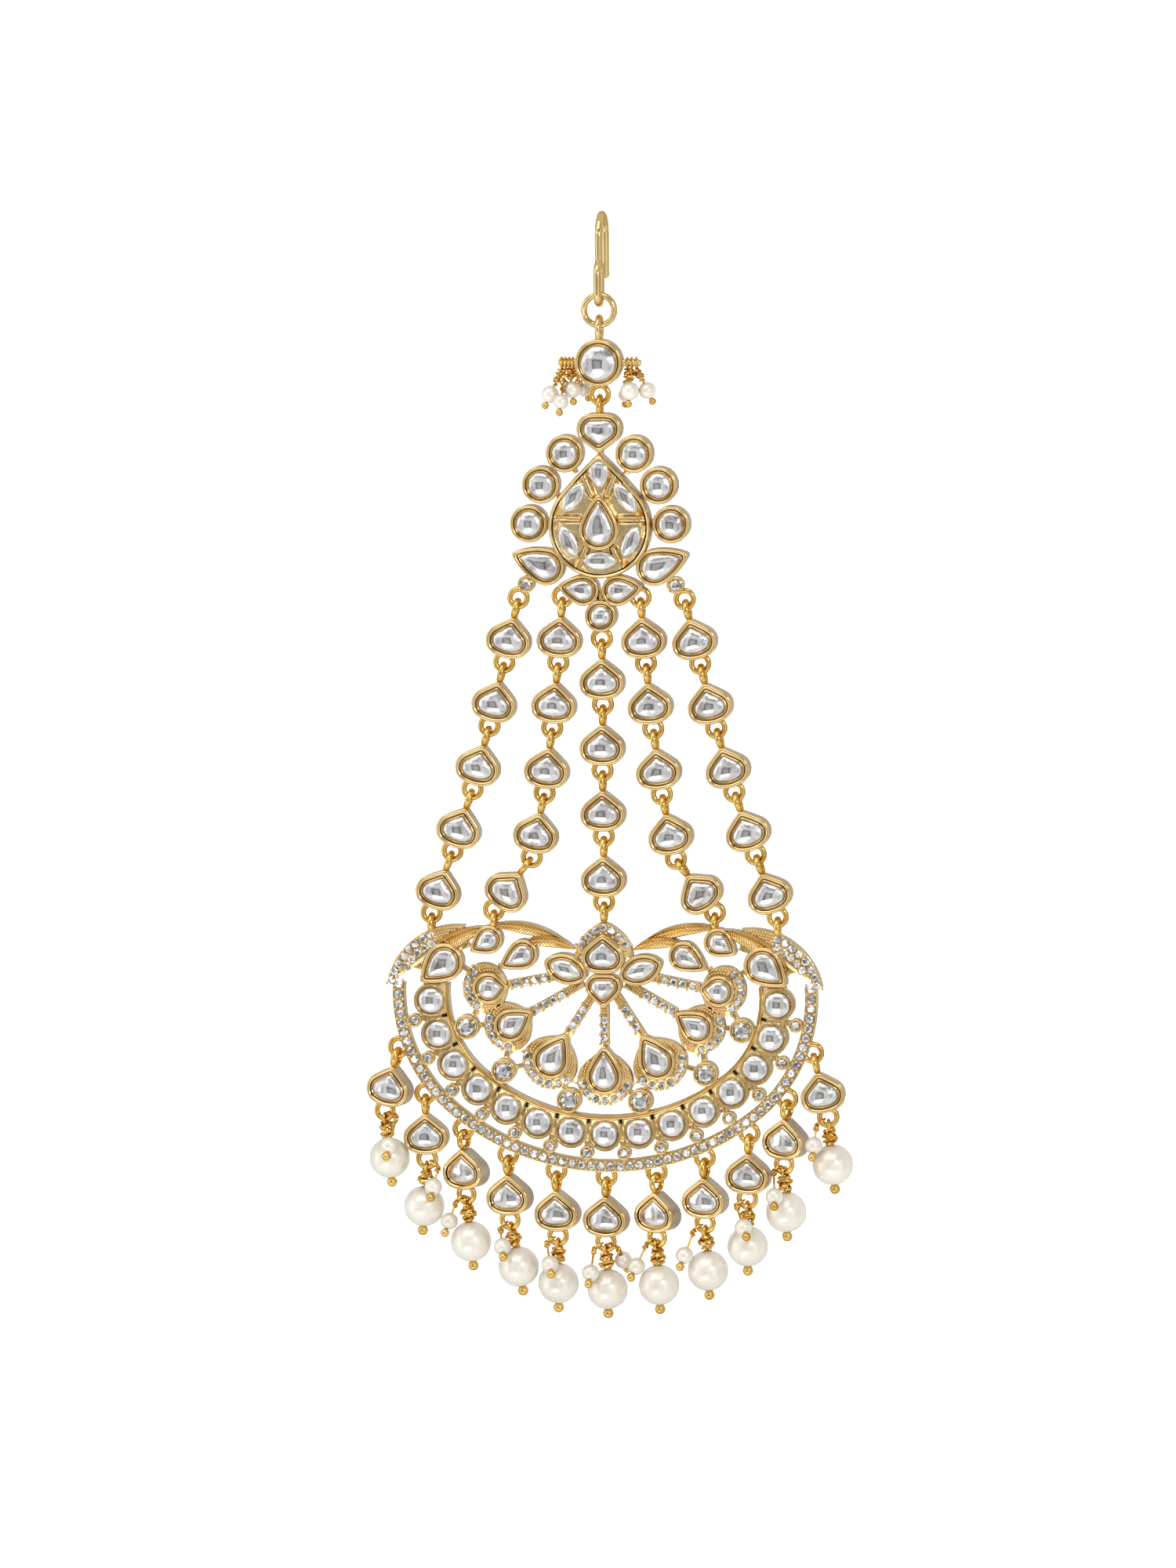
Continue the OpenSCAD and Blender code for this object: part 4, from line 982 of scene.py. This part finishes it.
# Drops. Columns: place along the row, tilt of the link, tilt and turn of the pearl, small pearl's
# place across and up from the big one
dropRows = [[-30.4, -13, 5, -12, 0.6, 2.4], [-24.6, 1, -4, 0, 1.8, 3.3], [-18.7, 2, 5, -22, -3.1, 3.1],
            [-12.4, 1, 10, -12, -2.1, 3.3], [-6.2, 1, 0, -8, -0.8, 3.3], [0, -1, 1.5, -7, -2.1, 2.8],
            [6.2, 0, 2, -24, -3.2, 2.9], [12.4, 0, 3, -12, -3.2, 2.5], [18.7, -2, 0, -6, -0.2, 3.3],
            [24.6, -3, 2, -20, -1.3, 2.8], [30.4, 13, 5, 4, -2.5, 3.1]]

paveStones, paveBeads = [], []


def addStoneSpot(matrix, x, y, z, r=None):
    paveStones.append((matrix @ place(x, y, z), r or paveLook["stone"]))


def addBeadSpot(matrix, x, y, z, r=None):
    paveBeads.append((matrix @ place(x, y, z), r or paveLook["bead"]))


# Stones along a path, with a pair of small beads between neighbours
def addPaveRow(points, y, matrix, stone=None):
    aside, last = paveLook["beadAside"], len(points) - 1
    for x, z in points:
        addStoneSpot(matrix, x, y, z, stone)
    for k in range(-1, last + 1):
        if k in (-1, last):
            b, a = (points[0], points[1]) if k < 0 else (points[-1], points[-2])
            mid = (b[0] * 1.5 - a[0] * 0.5, b[1] * 1.5 - a[1] * 0.5)
        else:
            a, b = points[k], points[k + 1]
            mid = ((a[0] + b[0]) / 2, (a[1] + b[1]) / 2)
        dx, dz = b[0] - a[0], b[1] - a[1]
        long = math.hypot(dx, dz)
        for side in (-1, 1):
            x, z = mid[0] - side * dz / long * aside, mid[1] + side * dx / long * aside
            addBeadSpot(matrix, x, y - 0.06, z)


# count points at equal distances along a closed outline, on both sides of its point start
def walk(loop, start, step, count):
    n, out = len(loop), []
    lengths = [0.0]
    for i in range(n):
        a, b = loop[(start + i) % n], loop[(start + i + 1) % n]
        lengths.append(lengths[-1] + math.hypot(b[0] - a[0], b[1] - a[1]))
    total = lengths[-1]
    for k in range(count):
        d = ((k - (count - 1) / 2) * step) % total
        i = max(j for j in range(n) if lengths[j] <= d)
        a, b = loop[(start + i) % n], loop[(start + i + 1) % n]
        t = (d - lengths[i]) / max(lengths[i + 1] - lengths[i], 1e-9)
        out.append((a[0] + (b[0] - a[0]) * t, a[1] + (b[1] - a[1]) * t))
    return out


# Softens a closed outline
def rounded(loop, times):
    n = len(loop)
    for _ in range(times):
        loop = [tuple((loop[i - 1][c] + 2 * loop[i][c] + loop[(i + 1) % n][c]) / 4 for c in (0, 1))
                for i in range(n)]
    return loop


# The bed of small stones round a fan setting's lower part. It tapers away up both its sides
def haloWidth(z, reach):
    h = haloLook
    return h["wide"] * min(1, max(0.0, (reach - z) / (reach + h["low"]))) ** h["taper"]


def addHalo(metal, row, matrix):
    h, m = haloLook, matrix @ shift(row[1], row[2], row[3])
    full = outline("pear", row[4], 0.0)
    reach = row[4][0] * h["reach"]
    bed = moveLoop(full, [-haloWidth(z, reach) + 0.02 for x, z in full])
    addPlate(metal, bed, -0.82, 0.86, m, 0.16)
    spots = walk(moveLoop(full, -h["rowOut"]), 0, paveLook["pitch"], row[7])
    addPaveRow(spots, -0.86, m)
    # Grains fill the narrow ends, in rows that run along the setting
    for out in h["grainRows"]:
        for x, z in walk(moveLoop(full, -out), 0, h["grainPitch"], int(row[4][0] * 16)):
            if z > spots[-1][1] + 0.85 and out < haloWidth(z, reach) - 0.2:
                addBeadSpot(m, x, -0.84, z, h["grain"])


def bowPoint(p, q, rise, t):
    p, q = Vector(p), Vector(q)
    v = q - p
    half = v.length / 2
    r = (half * half + rise * rise) / (2 * rise)
    n = Vector((-v.y, v.x)) / (2 * half)
    middle = (p + q) / 2 - n * (r - rise)
    a = math.asin(min(1, half / r)) * (2 * t - 1)
    along = v.normalized()
    return middle + n * r * math.cos(a) + along * r * math.sin(a)


# A point between the wing's ends, some way in from its outer edge
def wingPoint(t, inward):
    w = wingLook
    p, c = bowPoint(*w["ends"], w["outer"], t), bowPoint(*w["ends"], w["middle"], t)
    return p + (c - p).normalized() * inward


# A feather-shaped leaf. Its section holds share of its width, depth and finish
def addLeaf(metal, p, q, rise, tuck, matrix, flip):
    across = [(0, 0.86, 1), (0, -0.8, 1), (0.04, -1.02, 0), (0.1, -1.12, 0), (0.17, -1.05, 4),
              (0.4, -0.72, 4), (0.62, -0.72, 4), (0.76, -1.0, 4), (0.82, -1.36, 0), (0.88, -1.55, 0),
              (0.95, -1.55, 0), (1, -1.3, 0), (1, 0.86, 1)]
    steps, verts, uv = 30, [], []
    long = (Vector(q) - Vector(p)).length
    for k in range(steps + 1):
        t = 0.015 + 0.97 * k / steps
        low, high = bowPoint(q, p, tuck, 1 - t), bowPoint(p, q, rise, t)
        wide = (high - low).length
        for u, y, _ in across:
            c = low.lerp(high, u)
            depth = y if y > 0 else -1.05 + (y + 1.05) * min(1, wide / 1.3)
            verts.append((-c.x if flip else c.x, depth, c.y))
            uv.append((t * long, u * wide))
    n, faces, kinds = len(across), [], []
    for k in range(steps):
        for i in range(n):
            j = (i + 1) % n
            f = [k * n + i, (k + 1) * n + i, (k + 1) * n + j, k * n + j]
            faces.append(f[::-1] if flip else f)
            kinds.append(across[j][2] if j else 1)
    for k in (0, steps):
        f = [k * n + i for i in range(n)]
        faces.append(f if (k == 0) != flip else f[::-1])
        kinds.append(0)
    addMesh(metal, verts, faces, kinds, matrix, uv)


def makeBand(metal):
    r = rowLook
    out = r["ringOut"]
    ring = [(out + 0.92, 0.8), (out + 0.92, -0.62), (out + 0.87, -0.72), (out + 0.78, -0.74),
            (out - 0.78, -0.74), (out - 0.87, -0.72), (out - 0.92, -0.62), (out - 0.92, 0.8),
            (out - 0.82, 0.9), (out + 0.82, 0.9)]
    addRowSection(metal, ring, [1, 0, 0, 0, 0, 0, 1, 1, 1, 1])
    band = [(1.2, 0.8), (1.2, -0.92), (1.12, -1.08), (0.9, -1.12), (-1.9, -1.12), (-2.08, -1.2),
            (-2.16, -1.42), (-2.26, -1.52), (-2.36, -1.46), (-2.43, -1.36), (-2.5, -1.46), (-2.6, -1.58),
            (-2.7, -1.5), (-2.75, -1.3), (-2.75, 0.8), (-2.65, 0.9), (1.1, 0.9)]
    addRowSection(metal, band, [1, 1, 3, 3, 3, 0, 0, 0, 0, 0, 0, 0, 0, 1, 1, 1, 1])
    seat = [[0.3, 0.9, 1], [0.02, 0.82, 1], [0, -0.92, 1], [0.06, -1.08, 3], [0.2, -1.13, 3],
            [0.46, -1.13, 3], [0.5, -1.2, 0], [0.54, -1.2, 0], [0.57, -1.12, 0], [0.6, -0.4, 0]]
    for s in rowSpots(r["cells"]):
        sweep(metal, "round", [2.5], seat, rowAt(s))
        # The rim that hugs each cell's outer half, with a leg up each side
        legs = 1.7 if abs(s) < 1 else 1.55
        hug = r["hug"]
        path = [(-hug, 0, legs), (-hug, 0, 0.6)]
        path += [(-hug * math.cos(a), 0, -hug * math.sin(a)) for a in [math.pi * k / 22 for k in range(23)]]
        path += [(hug, 0, 0.6), (hug, 0, legs)]
        addWire(metal, path, 0.26, rowAt(s, 0, -1.3, True), 0, 8, [0.5] + [1] * (len(path) - 2) + [0.5])
    # Between the cells: a small setting on two short bars outside; inside, a slot's shade painted near
    # black, with raised sides
    for s in rowSpots(r["cells"] - 1):
        small, between = rowAt(s, r["smallOut"], 0, True), rowAt(s, -1.15, 0, True)
        addSetting(metal, ["round", 0, 0, 0, [1.06], 0.42, -1.1], 0.9, rowAt(s, r["smallOut"]), 0.55)
        addBar(metal, 0, 1.9, 0, 0.9, 0.5, -0.75, 0.8, small)
        addBar(metal, 0, -0.9, 0, -1.4, 0.5, -0.75, 0.8, small)
        addStoneSpot(rowAt(s, r["smallOut"]), 0, -0.92, 0, 0.68)
        addBar(metal, 0, -0.9, 0, 0.95, 0.22, -1.24, -0.9, between, 0.03, 5)
        for side in (-1, 1):
            addBar(metal, side * 0.34, -0.8, side * 0.34, 0.9, 0.1, -1.3, -0.9, between, 0.08)
    for s in bigStones:
        for side in (-1, 1):
            m = rowAt(side * s, r["bigOut"])
            addSetting(metal, ["round", 0, 0, 0, [1.87], 0.62, -1.6], 0.9, m, 0.7)
    # Stones all along the outer ring
    last = 90 + math.degrees(math.asin(r["stoneTop"] / (r["sideRadius"] + out)))
    turns, turn = [], 0.0
    while turn < last - 1:
        radius = (r["lowRadius"] if turn < r["bend"] else r["sideRadius"]) + out
        step = math.degrees(paveLook["pitch"] / radius)
        turns.append(turn + step / 2)
        turn += step
    spots = [turnPoint(-t, out) for t in reversed(turns)] + [turnPoint(t, out) for t in turns]
    addPaveRow(spots, -0.84, crescentAt, 0.66)


def makeCrescent():
    metal, w = newMetal(), wingLook
    makeBand(metal)
    for r in fanRows:
        addSetting(metal, r, 0.9, crescentAt)
        addHalo(metal, r, crescentAt)
    for r in wingRows:
        addSetting(metal, r, 0.9, crescentAt)
    # Crown behind the top setting
    crown, look = wingRows[0], crownLook
    m = crescentAt @ shift(crown[1], crown[2])
    full = rounded(outline("onion", crown[4], -look["out"]), 14)
    start = min(range(len(full)), key=lambda i: (full[i][1] < look["low"], full[i][0] < 0, full[i][1]))
    bed = [point for point in full[start:] + full[:start] if point[1] > look["low"]]
    addPlate(metal, bed, -0.85, 0.9, m, 0.16)
    path = rounded(outline("onion", crown[4], -look["rowOut"]), 8)
    tip = max(range(len(path)), key=lambda i: path[i][1])
    addPaveRow(walk(path, tip, look["pitch"], look["count"]), -0.88, m)
    for side in (-1, 1):
        for k in range(7):
            addBeadSpot(m, side * (4.05 - 0.09 * k + 0.25 * (k % 2)), -0.85, 0.75 - 0.3 * k, 0.2)
    for x0, z0, x1, z1, near, far, count in spokeRows:
        for side in ((1,) if x0 == 0 else (-1, 1)):
            addBar(metal, side * x0, z0, side * x1, z1, 0.66, -0.78, 0.8, crescentAt, 0.16)
            v = Vector((x0 - x1, z0 - z1))
            long = v.length
            spots = [(side * (x1 + v.x * d / long), z1 + v.y * d / long)
                     for d in [near + (far - near) * k / (count - 1) for k in range(count)]]
            addPaveRow(spots, -0.82, crescentAt)
            # Grains at the root of the spoke
            for d in [near - 1.15 - 0.38 * k for k in range(4)]:
                for aside in (-0.36, 0.0, 0.36) if d > 0.2 else ():
                    x = side * (x1 + v.x * d / long + -v.y / long * aside)
                    z = z1 + v.y * d / long + v.x / long * aside
                    addBeadSpot(crescentAt, x, -0.8, z, 0.2 - 0.03 * abs(aside))
    for side in (-1, 1):
        for p, q, rise, tuck in leafRows:
            addLeaf(metal, p, q, rise, tuck, crescentAt, side < 0)
        outer = [bowPoint(*w["ends"], w["outer"], k / 24) for k in range(25)]
        inner = [bowPoint(*w["ends"][::-1], w["inner"], k / 24) for k in range(1, 24)]
        loop = [(side * p.x, p.y) for p in outer + inner]
        loop = loop[::-1] if side > 0 else loop
        addPlate(metal, loop, -0.85, 0.88, crescentAt, 0.16)
        first, inward, count = w["row"]
        stones = [wingPoint(first + w["step"] * k, inward) for k in range(count)]
        addPaveRow([(side * p.x, p.y) for p in stones], -0.9, crescentAt)
        first, inward, count = w["secondRow"]
        for k in range(count):
            p = wingPoint(first + w["step"] * k, inward)
            addStoneSpot(crescentAt, side * p.x, -0.9, p.y)
            for d in (-0.5, 0.5):
                addBeadSpot(crescentAt, side * (p.x + d), -0.9, p.y + 0.62 * (1 if d < 0 else -1))
        first, step, count = w["grains"]
        for k in range(count):
            for row in range(1 + k // 3):
                p = wingPoint(first + step * k, w["grainRow"][0] + w["grainRow"][1] * row)
                addBeadSpot(crescentAt, side * p.x, -0.86, p.y, w["grain"])
    for x0, z0, x1, z1 in neckRows:
        for side in (-1, 1):
            addBar(metal, side * x0, z0, side * x1, z1, 0.45, -0.3, 0.8, crescentAt)
    for k, s in enumerate(bigStones):
        for side in (-1, 1):
            x0, z0 = rowPoint(side * s, rowLook["bigOut"])
            for j in (k, k + 1):
                r = [f for f in fanRows if f[1] * side >= 0][j]
                addBar(metal, x0, z0, r[1], r[2], 0.42, -0.4, 0.8, crescentAt)
    for x, z, tilts in strandRows:
        z += layout["crestZ"] - layout["crescentZ"]
        for tilt in tilts:
            x += layout["linkPitch"] * math.sin(math.radians(tilt))
            z -= layout["linkPitch"] * math.cos(math.radians(tilt))
        bail = crescentAt @ place(x, 0, z - layout["bailDrop"]) @ sideOn
        addRing(metal, layout["loopRadius"], 0.38, bail, 2, 32, 12, 0.46)
    for d in dropRows:
        x, z = rowPoint(d[0], rowLook["loopOut"])
        addRing(metal, layout["loopRadius"], layout["loopWire"], crescentAt @ place(x, 0, z), 2)
    makePiece("crescentFrame", metal, goldSet, "crest", ["crescent_frame"])


def makeCrescentStones():
    glass = newMetal()
    for s in rowSpots(rowLook["cells"]):
        addDome(glass, ["round", 0, 0, 0, [2.5], 0.56, -1.42], 0.34, rowAt(s))
    makePiece("crescentStones", glass, [foiledStone], "crest", ["crescent_stones"], 60)
    makeStones("fanStones", fanRows, 0.3, crescentAt, "crest", "fan_stones")
    makeStones("wingStones", wingRows, 0.3, crescentAt, "crest", "wing_stones")
    unit = brilliantUnit()
    large = [(rowAt(side * s, rowLook["bigOut"], -1.42), 1.3) for s in bigStones for side in (-1, 1)]
    setUnits("largeBrilliants", unit, large, [brilliantCut], "crest", ["large_brilliants"],
             sharp=0)
    setUnits("paveStones", unit, paveStones, [brilliantCut], "crest", ["small_brilliants"],
             jitter=0.2, seed=11, sharp=0)
    bead = newMetal()
    addBall(bead, 1, Matrix(), 0, 10, 6)
    setUnits("paveBeads", bead, paveBeads, goldSet[:1], "crest", (), sharp=80)
    print(len(paveStones), "pave stones,", len(paveBeads), "beads")


makeCrescent()
makeCrescentStones()
print("crescent done")

# Drops
dropLook = {"pearl": 3.0, "hole": 0.5, "pearlDrop": 7.1, "eye": 0.8, "eyeWire": 0.25, "wire": 0.28,
            "knotReach": 0.92, "knotWire": 0.25, "ball": 0.78, "ballOut": 0.6,
            "seed": 1.3, "seedHole": 0.33, "seedSpace": 4.45, "seedEye": 0.72, "seedWire": 0.17,
            "seedSide": 62, "seedKnot": 0.34, "seedKnotWire": 0.14, "seedBall": 0.66}
extraSeed = (5, Vector((2.1, 1.6, -3)), 1)  # the small pearl behind the sixth drop
eyeDrop = layout["loopRadius"] - layout["loopWire"] - 0.12 + dropLook["eye"] - dropLook["eyeWire"]


def dropPlace(row, pearls):
    x, z = rowPoint(row[0], rowLook["loopOut"])
    if pearls:
        x += layout["linkPitch"] * math.sin(math.radians(row[1]))
        z -= layout["linkPitch"] * math.cos(math.radians(row[1]))
    tilt = row[2] if pearls else row[1]
    return crescentAt @ shift(x, z, -tilt) @ Matrix.Rotation(math.radians(row[3]), 4, "Z")


# The small pearl leans on the big one's front, so the drop's tilt and turn are taken off again
def seedMiddle(row):
    a, t = math.radians(row[2]), math.radians(row[3])
    x = row[4] * math.cos(a) + row[5] * math.sin(a)
    z = row[5] * math.cos(a) - row[4] * math.sin(a)
    y = -math.sqrt(max(0.2, dropLook["seedSpace"] ** 2 - x * x - z * z))
    across, back = x * math.cos(t) + y * math.sin(t), y * math.cos(t) - x * math.sin(t)
    return Vector((across, back, z - dropLook["pearlDrop"]))


def makeDrops():
    d, places = dropLook, [(dropPlace(r, False), 1.0) for r in dropRows]
    setUnits("dropLinks", linkShape(), places, goldSet, "crest",
             [f"drop_{i:02d}_link" for i in range(1, 12)])
    setUnits("dropStones", linkStone(), places, [foiledStone], "crest", ["drop_stones"],
             sharp=60)
    big, pins, small, wires = newMetal(), newMetal(), newMetal(), newMetal()
    seeds = [(i, seedMiddle(r), -1 if r[4] < 0 else 1) for i, r in enumerate(dropRows)]
    seeds.append(extraSeed)
    for i, r in enumerate(dropRows):
        m = dropPlace(r, True)
        addPearl(big, d["pearl"], d["hole"], m @ place(0, 0, -d["pearlDrop"]), 44, 26)
        low, top = d["pearlDrop"] + d["pearl"] + d["ballOut"], -eyeDrop - d["eye"]
        addRing(pins, d["eye"], d["eyeWire"], m @ place(0, 0, -eyeDrop) @ sideOn, 2, 28, 8)
        addWire(pins, [(0, 0, top), (0, 0, -4.5), (0, 0, -low)], d["wire"], m, 2)
        addKnot(pins, (0, 0, top + 0.3), (0, 0, -d["pearlDrop"] + d["pearl"] + 0.12), d["knotReach"],
                d["knotWire"], 4.2 + 0.4 * (i % 3), m, i)
        addBall(pins, d["ball"], m @ place(0, 0, -low), 2)
    for i, middle, side in seeds:
        m = dropPlace(dropRows[i], True)
        a = math.radians(d["seedSide"])
        s = Vector((side * math.sin(a), 0, -math.cos(a))) * layout["loopRadius"]
        begin = s * (1 + d["seedEye"] / layout["loopRadius"])
        along = (middle - begin).normalized()
        tail = middle + along * (d["seed"] + d["ballOut"])
        addPearl(small, d["seed"], d["seedHole"], m @ pointAlong(middle, along), 28, 16)
        eye = m @ Matrix.Translation(s) @ Matrix.Rotation(-side * a, 4, "Y") @ sideOn
        addRing(wires, d["seedEye"], d["seedWire"], eye, 2, 24, 8)
        addWire(wires, [begin, begin.lerp(tail, 0.5), tail], d["seedWire"], m, 2)
        addKnot(wires, begin, begin + along * 1.1, d["seedKnot"], d["seedKnotWire"], 3.5, m, i)
        addBall(wires, d["seedBall"], m @ Matrix.Translation(tail), 2, 16, 10)
    makePiece("dropPearls", big, [creamPearl], "crest", [f"drop_{i:02d}_pearl" for i in range(1, 12)])
    makePiece("dropPins", pins, goldSet, "crest", ["drop_pins"])
    makePiece("smallPearls", small, [creamPearl], "crest", ["drop_small_pearls"])
    makePiece("smallPins", wires, goldSet, "crest", ["drop_small_pins"])


makeDrops()
print("drops done")


# Stage: a pale floor that curves up into a backdrop
def makeStage():
    look = {"floor": -0.1855, "front": -2.2, "curveStart": 0.25, "curve": 0.35, "top": 1.4, "half": 1.6,
            "glow": (0.0, 0.6), "glowReach": (0.06, 0.2)}
    paper, tree, shader = newFinish("paper", {"Base Color": (0.73, 0.73, 0.73, 1), "Roughness": 0.9,
                                              "Emission Color": (1, 1, 1, 1)})
    # The paper has no glow of its own just below the piece
    away = addNode(tree, "ShaderNodeVectorMath", {0: addNode(tree, "ShaderNodeTexCoord").outputs["Object"],
                                                  1: (0, 0, look["floor"])}, operation="DISTANCE")
    tree.links.new(addRange(tree, away.outputs["Value"], *look["glowReach"], *look["glow"]),
                   shader.inputs["Emission Strength"])
    start, low, curve = look["curveStart"], look["floor"], look["curve"]
    profile = [(look["front"], low), (start, low)]
    profile += [(start + curve * math.sin(a), low + curve * (1 - math.cos(a)))
                for a in [math.pi / 2 * k / 16 for k in range(1, 17)]]
    profile.append((start + curve, look["top"]))
    verts = [(x, y, z) for y, z in profile for x in (-look["half"], look["half"])]
    faces = [[2 * k, 2 * k + 1, 2 * k + 3, 2 * k + 2] for k in range(len(profile) - 1)]
    mesh = bpy.data.meshes.new("floor")
    mesh.from_pydata(verts, [], faces)
    mesh.materials.append(paper)
    mesh.shade_smooth()
    floor = bpy.data.objects.new("floor", mesh)
    bpy.context.scene.collection.objects.link(floor)
    floor.visible_glossy = False  # polished metal takes its reflections from the studio boxes alone
    return floor


# Studio, seen in the polished surfaces. Columns: across low and high, up low and high, soft edge,
# change of strength. Light rows add light; dark rows then take a share of it away
lightRows = [[-0.66, 0.44, -0.42, 0.44, 0.04, 0.36],  # wide field
             [-0.99, -0.76, -0.35, 0.65, 0.05, 1.0],  # left box
             [0.6, 0.86, -0.35, 0.55, 0.05, 0.7],     # right box
             [-0.6, 0.35, 0.6, 0.95, 0.05, 1.3],      # top box
             [-1.2, 1.2, -1.2, -0.42, 0.04, 0.5],     # table
             [-0.45, 0.08, -0.7, -0.38, 0.03, 0.9]]   # paper
darkRows = [[-0.9, 0.9, 0.46, 0.58, 0.03, 0.5],       # gap below the top box
            [-0.46, 0.09, -0.34, 0.2, 0.025, 0.7]]    # card that darkens the middle
cardMiddle = [-0.36, -0.03, -0.3, 0.11, 0.03, 0.24]   # light given back in the card's middle
ambient = {"front": 0.42, "back": 0.2, "color": (1, 0.99, 0.97, 1)}


def makeStudio():
    world = bpy.data.worlds.new("studio")
    bpy.context.scene.world = world
    world.use_nodes = True
    tree = world.node_tree
    sky = tree.nodes["Background"]
    direction = addNode(tree, "ShaderNodeTexCoord").outputs["Generated"]
    way = addNode(tree, "ShaderNodeSeparateXYZ", {"Vector": direction})

    def step(value, edge, soft):
        ends = {"Value": value, "From Min": edge - soft, "From Max": edge + soft}
        return addNode(tree, "ShaderNodeMapRange", ends, interpolation_type="SMOOTHSTEP").outputs["Result"]

    def join(kind, a, b):
        return addNode(tree, "ShaderNodeMath", {0: a, 1: b}, operation=kind).outputs[0]

    def inside(value, low, high, soft):
        return join("SUBTRACT", step(value, low, soft), step(value, high, soft))

    front = step(join("MULTIPLY", way.outputs["Y"], -1.0), 0.1, 0.1)

    def patch(x0, x1, z0, z1, soft):
        across, up = inside(way.outputs["X"], x0, x1, soft), inside(way.outputs["Z"], z0, z1, soft)
        return join("MULTIPLY", join("MULTIPLY", across, up), front)

    light = join("ADD", ambient["front"], join("MULTIPLY", join("SUBTRACT", 1.0, front), ambient["back"]))
    for *box, strength in lightRows:
        light = join("ADD", light, join("MULTIPLY", patch(*box), strength))
    for *box, share in darkRows:
        light = join("MULTIPLY", light, join("SUBTRACT", 1.0, join("MULTIPLY", patch(*box), share)))
    light = join("ADD", light, join("MULTIPLY", patch(*cardMiddle[:5]), cardMiddle[5]))
    tree.links.new(light, sky.inputs["Strength"])
    sky.inputs["Color"].default_value = ambient["color"]


# Lamps. Columns: place, aim, width and height, power
lampRows = {
    "keyLamp": [(-0.55, -0.6, 0.45), (0, 0, -0.08), (0.5, 0.5), 0.55],
    "sparkLamp": [(0.47, -0.74, 0.2), (0, 0, -0.08), (0.1, 0.2), 0.8],
    "topLamp": [(0, -0.005, 0.9), (0, -0.005, -0.18), (0.12, 0.4), 6.0]}


def addLamp(name, spot, aim, size, power):
    lamp = bpy.data.lights.new(name, "AREA")
    lamp.shape = "RECTANGLE"
    lamp.size, lamp.size_y, lamp.energy = *size, power
    o = bpy.data.objects.new(name, lamp)
    o.location = spot
    o.rotation_euler = (Vector(aim) - Vector(spot)).to_track_quat("-Z", "Y").to_euler()
    bpy.context.scene.collection.objects.link(o)
    return o


# Camera: where the photo was taken from
cameraLook = {"around": 9.0, "above": 7.0, "roll": -0.5, "distance": 1.6, "frameHeight": 0.228,
              "hookPoint": (0, -0.003175, 0), "aside": -0.0015, "down": -0.082}


def makeCamera():
    c = cameraLook
    az, el, roll = (math.radians(c[k]) for k in ("around", "above", "roll"))
    right = Vector((math.cos(az), math.sin(az), 0))
    ahead = Vector((-math.sin(az) * math.cos(el), math.cos(az) * math.cos(el), -math.sin(el)))
    up = right.cross(ahead)
    across = right * math.cos(roll) + up * math.sin(roll)
    upward = up * math.cos(roll) - right * math.sin(roll)
    target = Vector(c["hookPoint"]) + across * c["aside"] + upward * c["down"]
    camera = bpy.data.cameras.new("camera")
    camera.lens = camera.sensor_width * c["distance"] / c["frameHeight"]
    camera.clip_start, camera.clip_end = 0.05, 10
    o = bpy.data.objects.new("camera", camera)
    turn = Matrix((across, upward, -ahead)).transposed().to_4x4()
    o.matrix_world = Matrix.Translation(target - ahead * c["distance"]) @ turn
    bpy.context.scene.collection.objects.link(o)
    bpy.context.scene.camera = o


floor = makeStage()
makeStudio()
lamps = {name: addLamp(name, *row) for name, row in lampRows.items()}
topLamp = lamps["topLamp"]  # lights the paper alone
topLamp.visible_glossy = False
topLamp.light_linking.receiver_collection = bpy.data.collections.new("lampPaper")
topLamp.light_linking.receiver_collection.objects.link(floor)
makeCamera()
bpy.context.scene.view_settings.view_transform = "Standard"
print("stage, light and camera done")
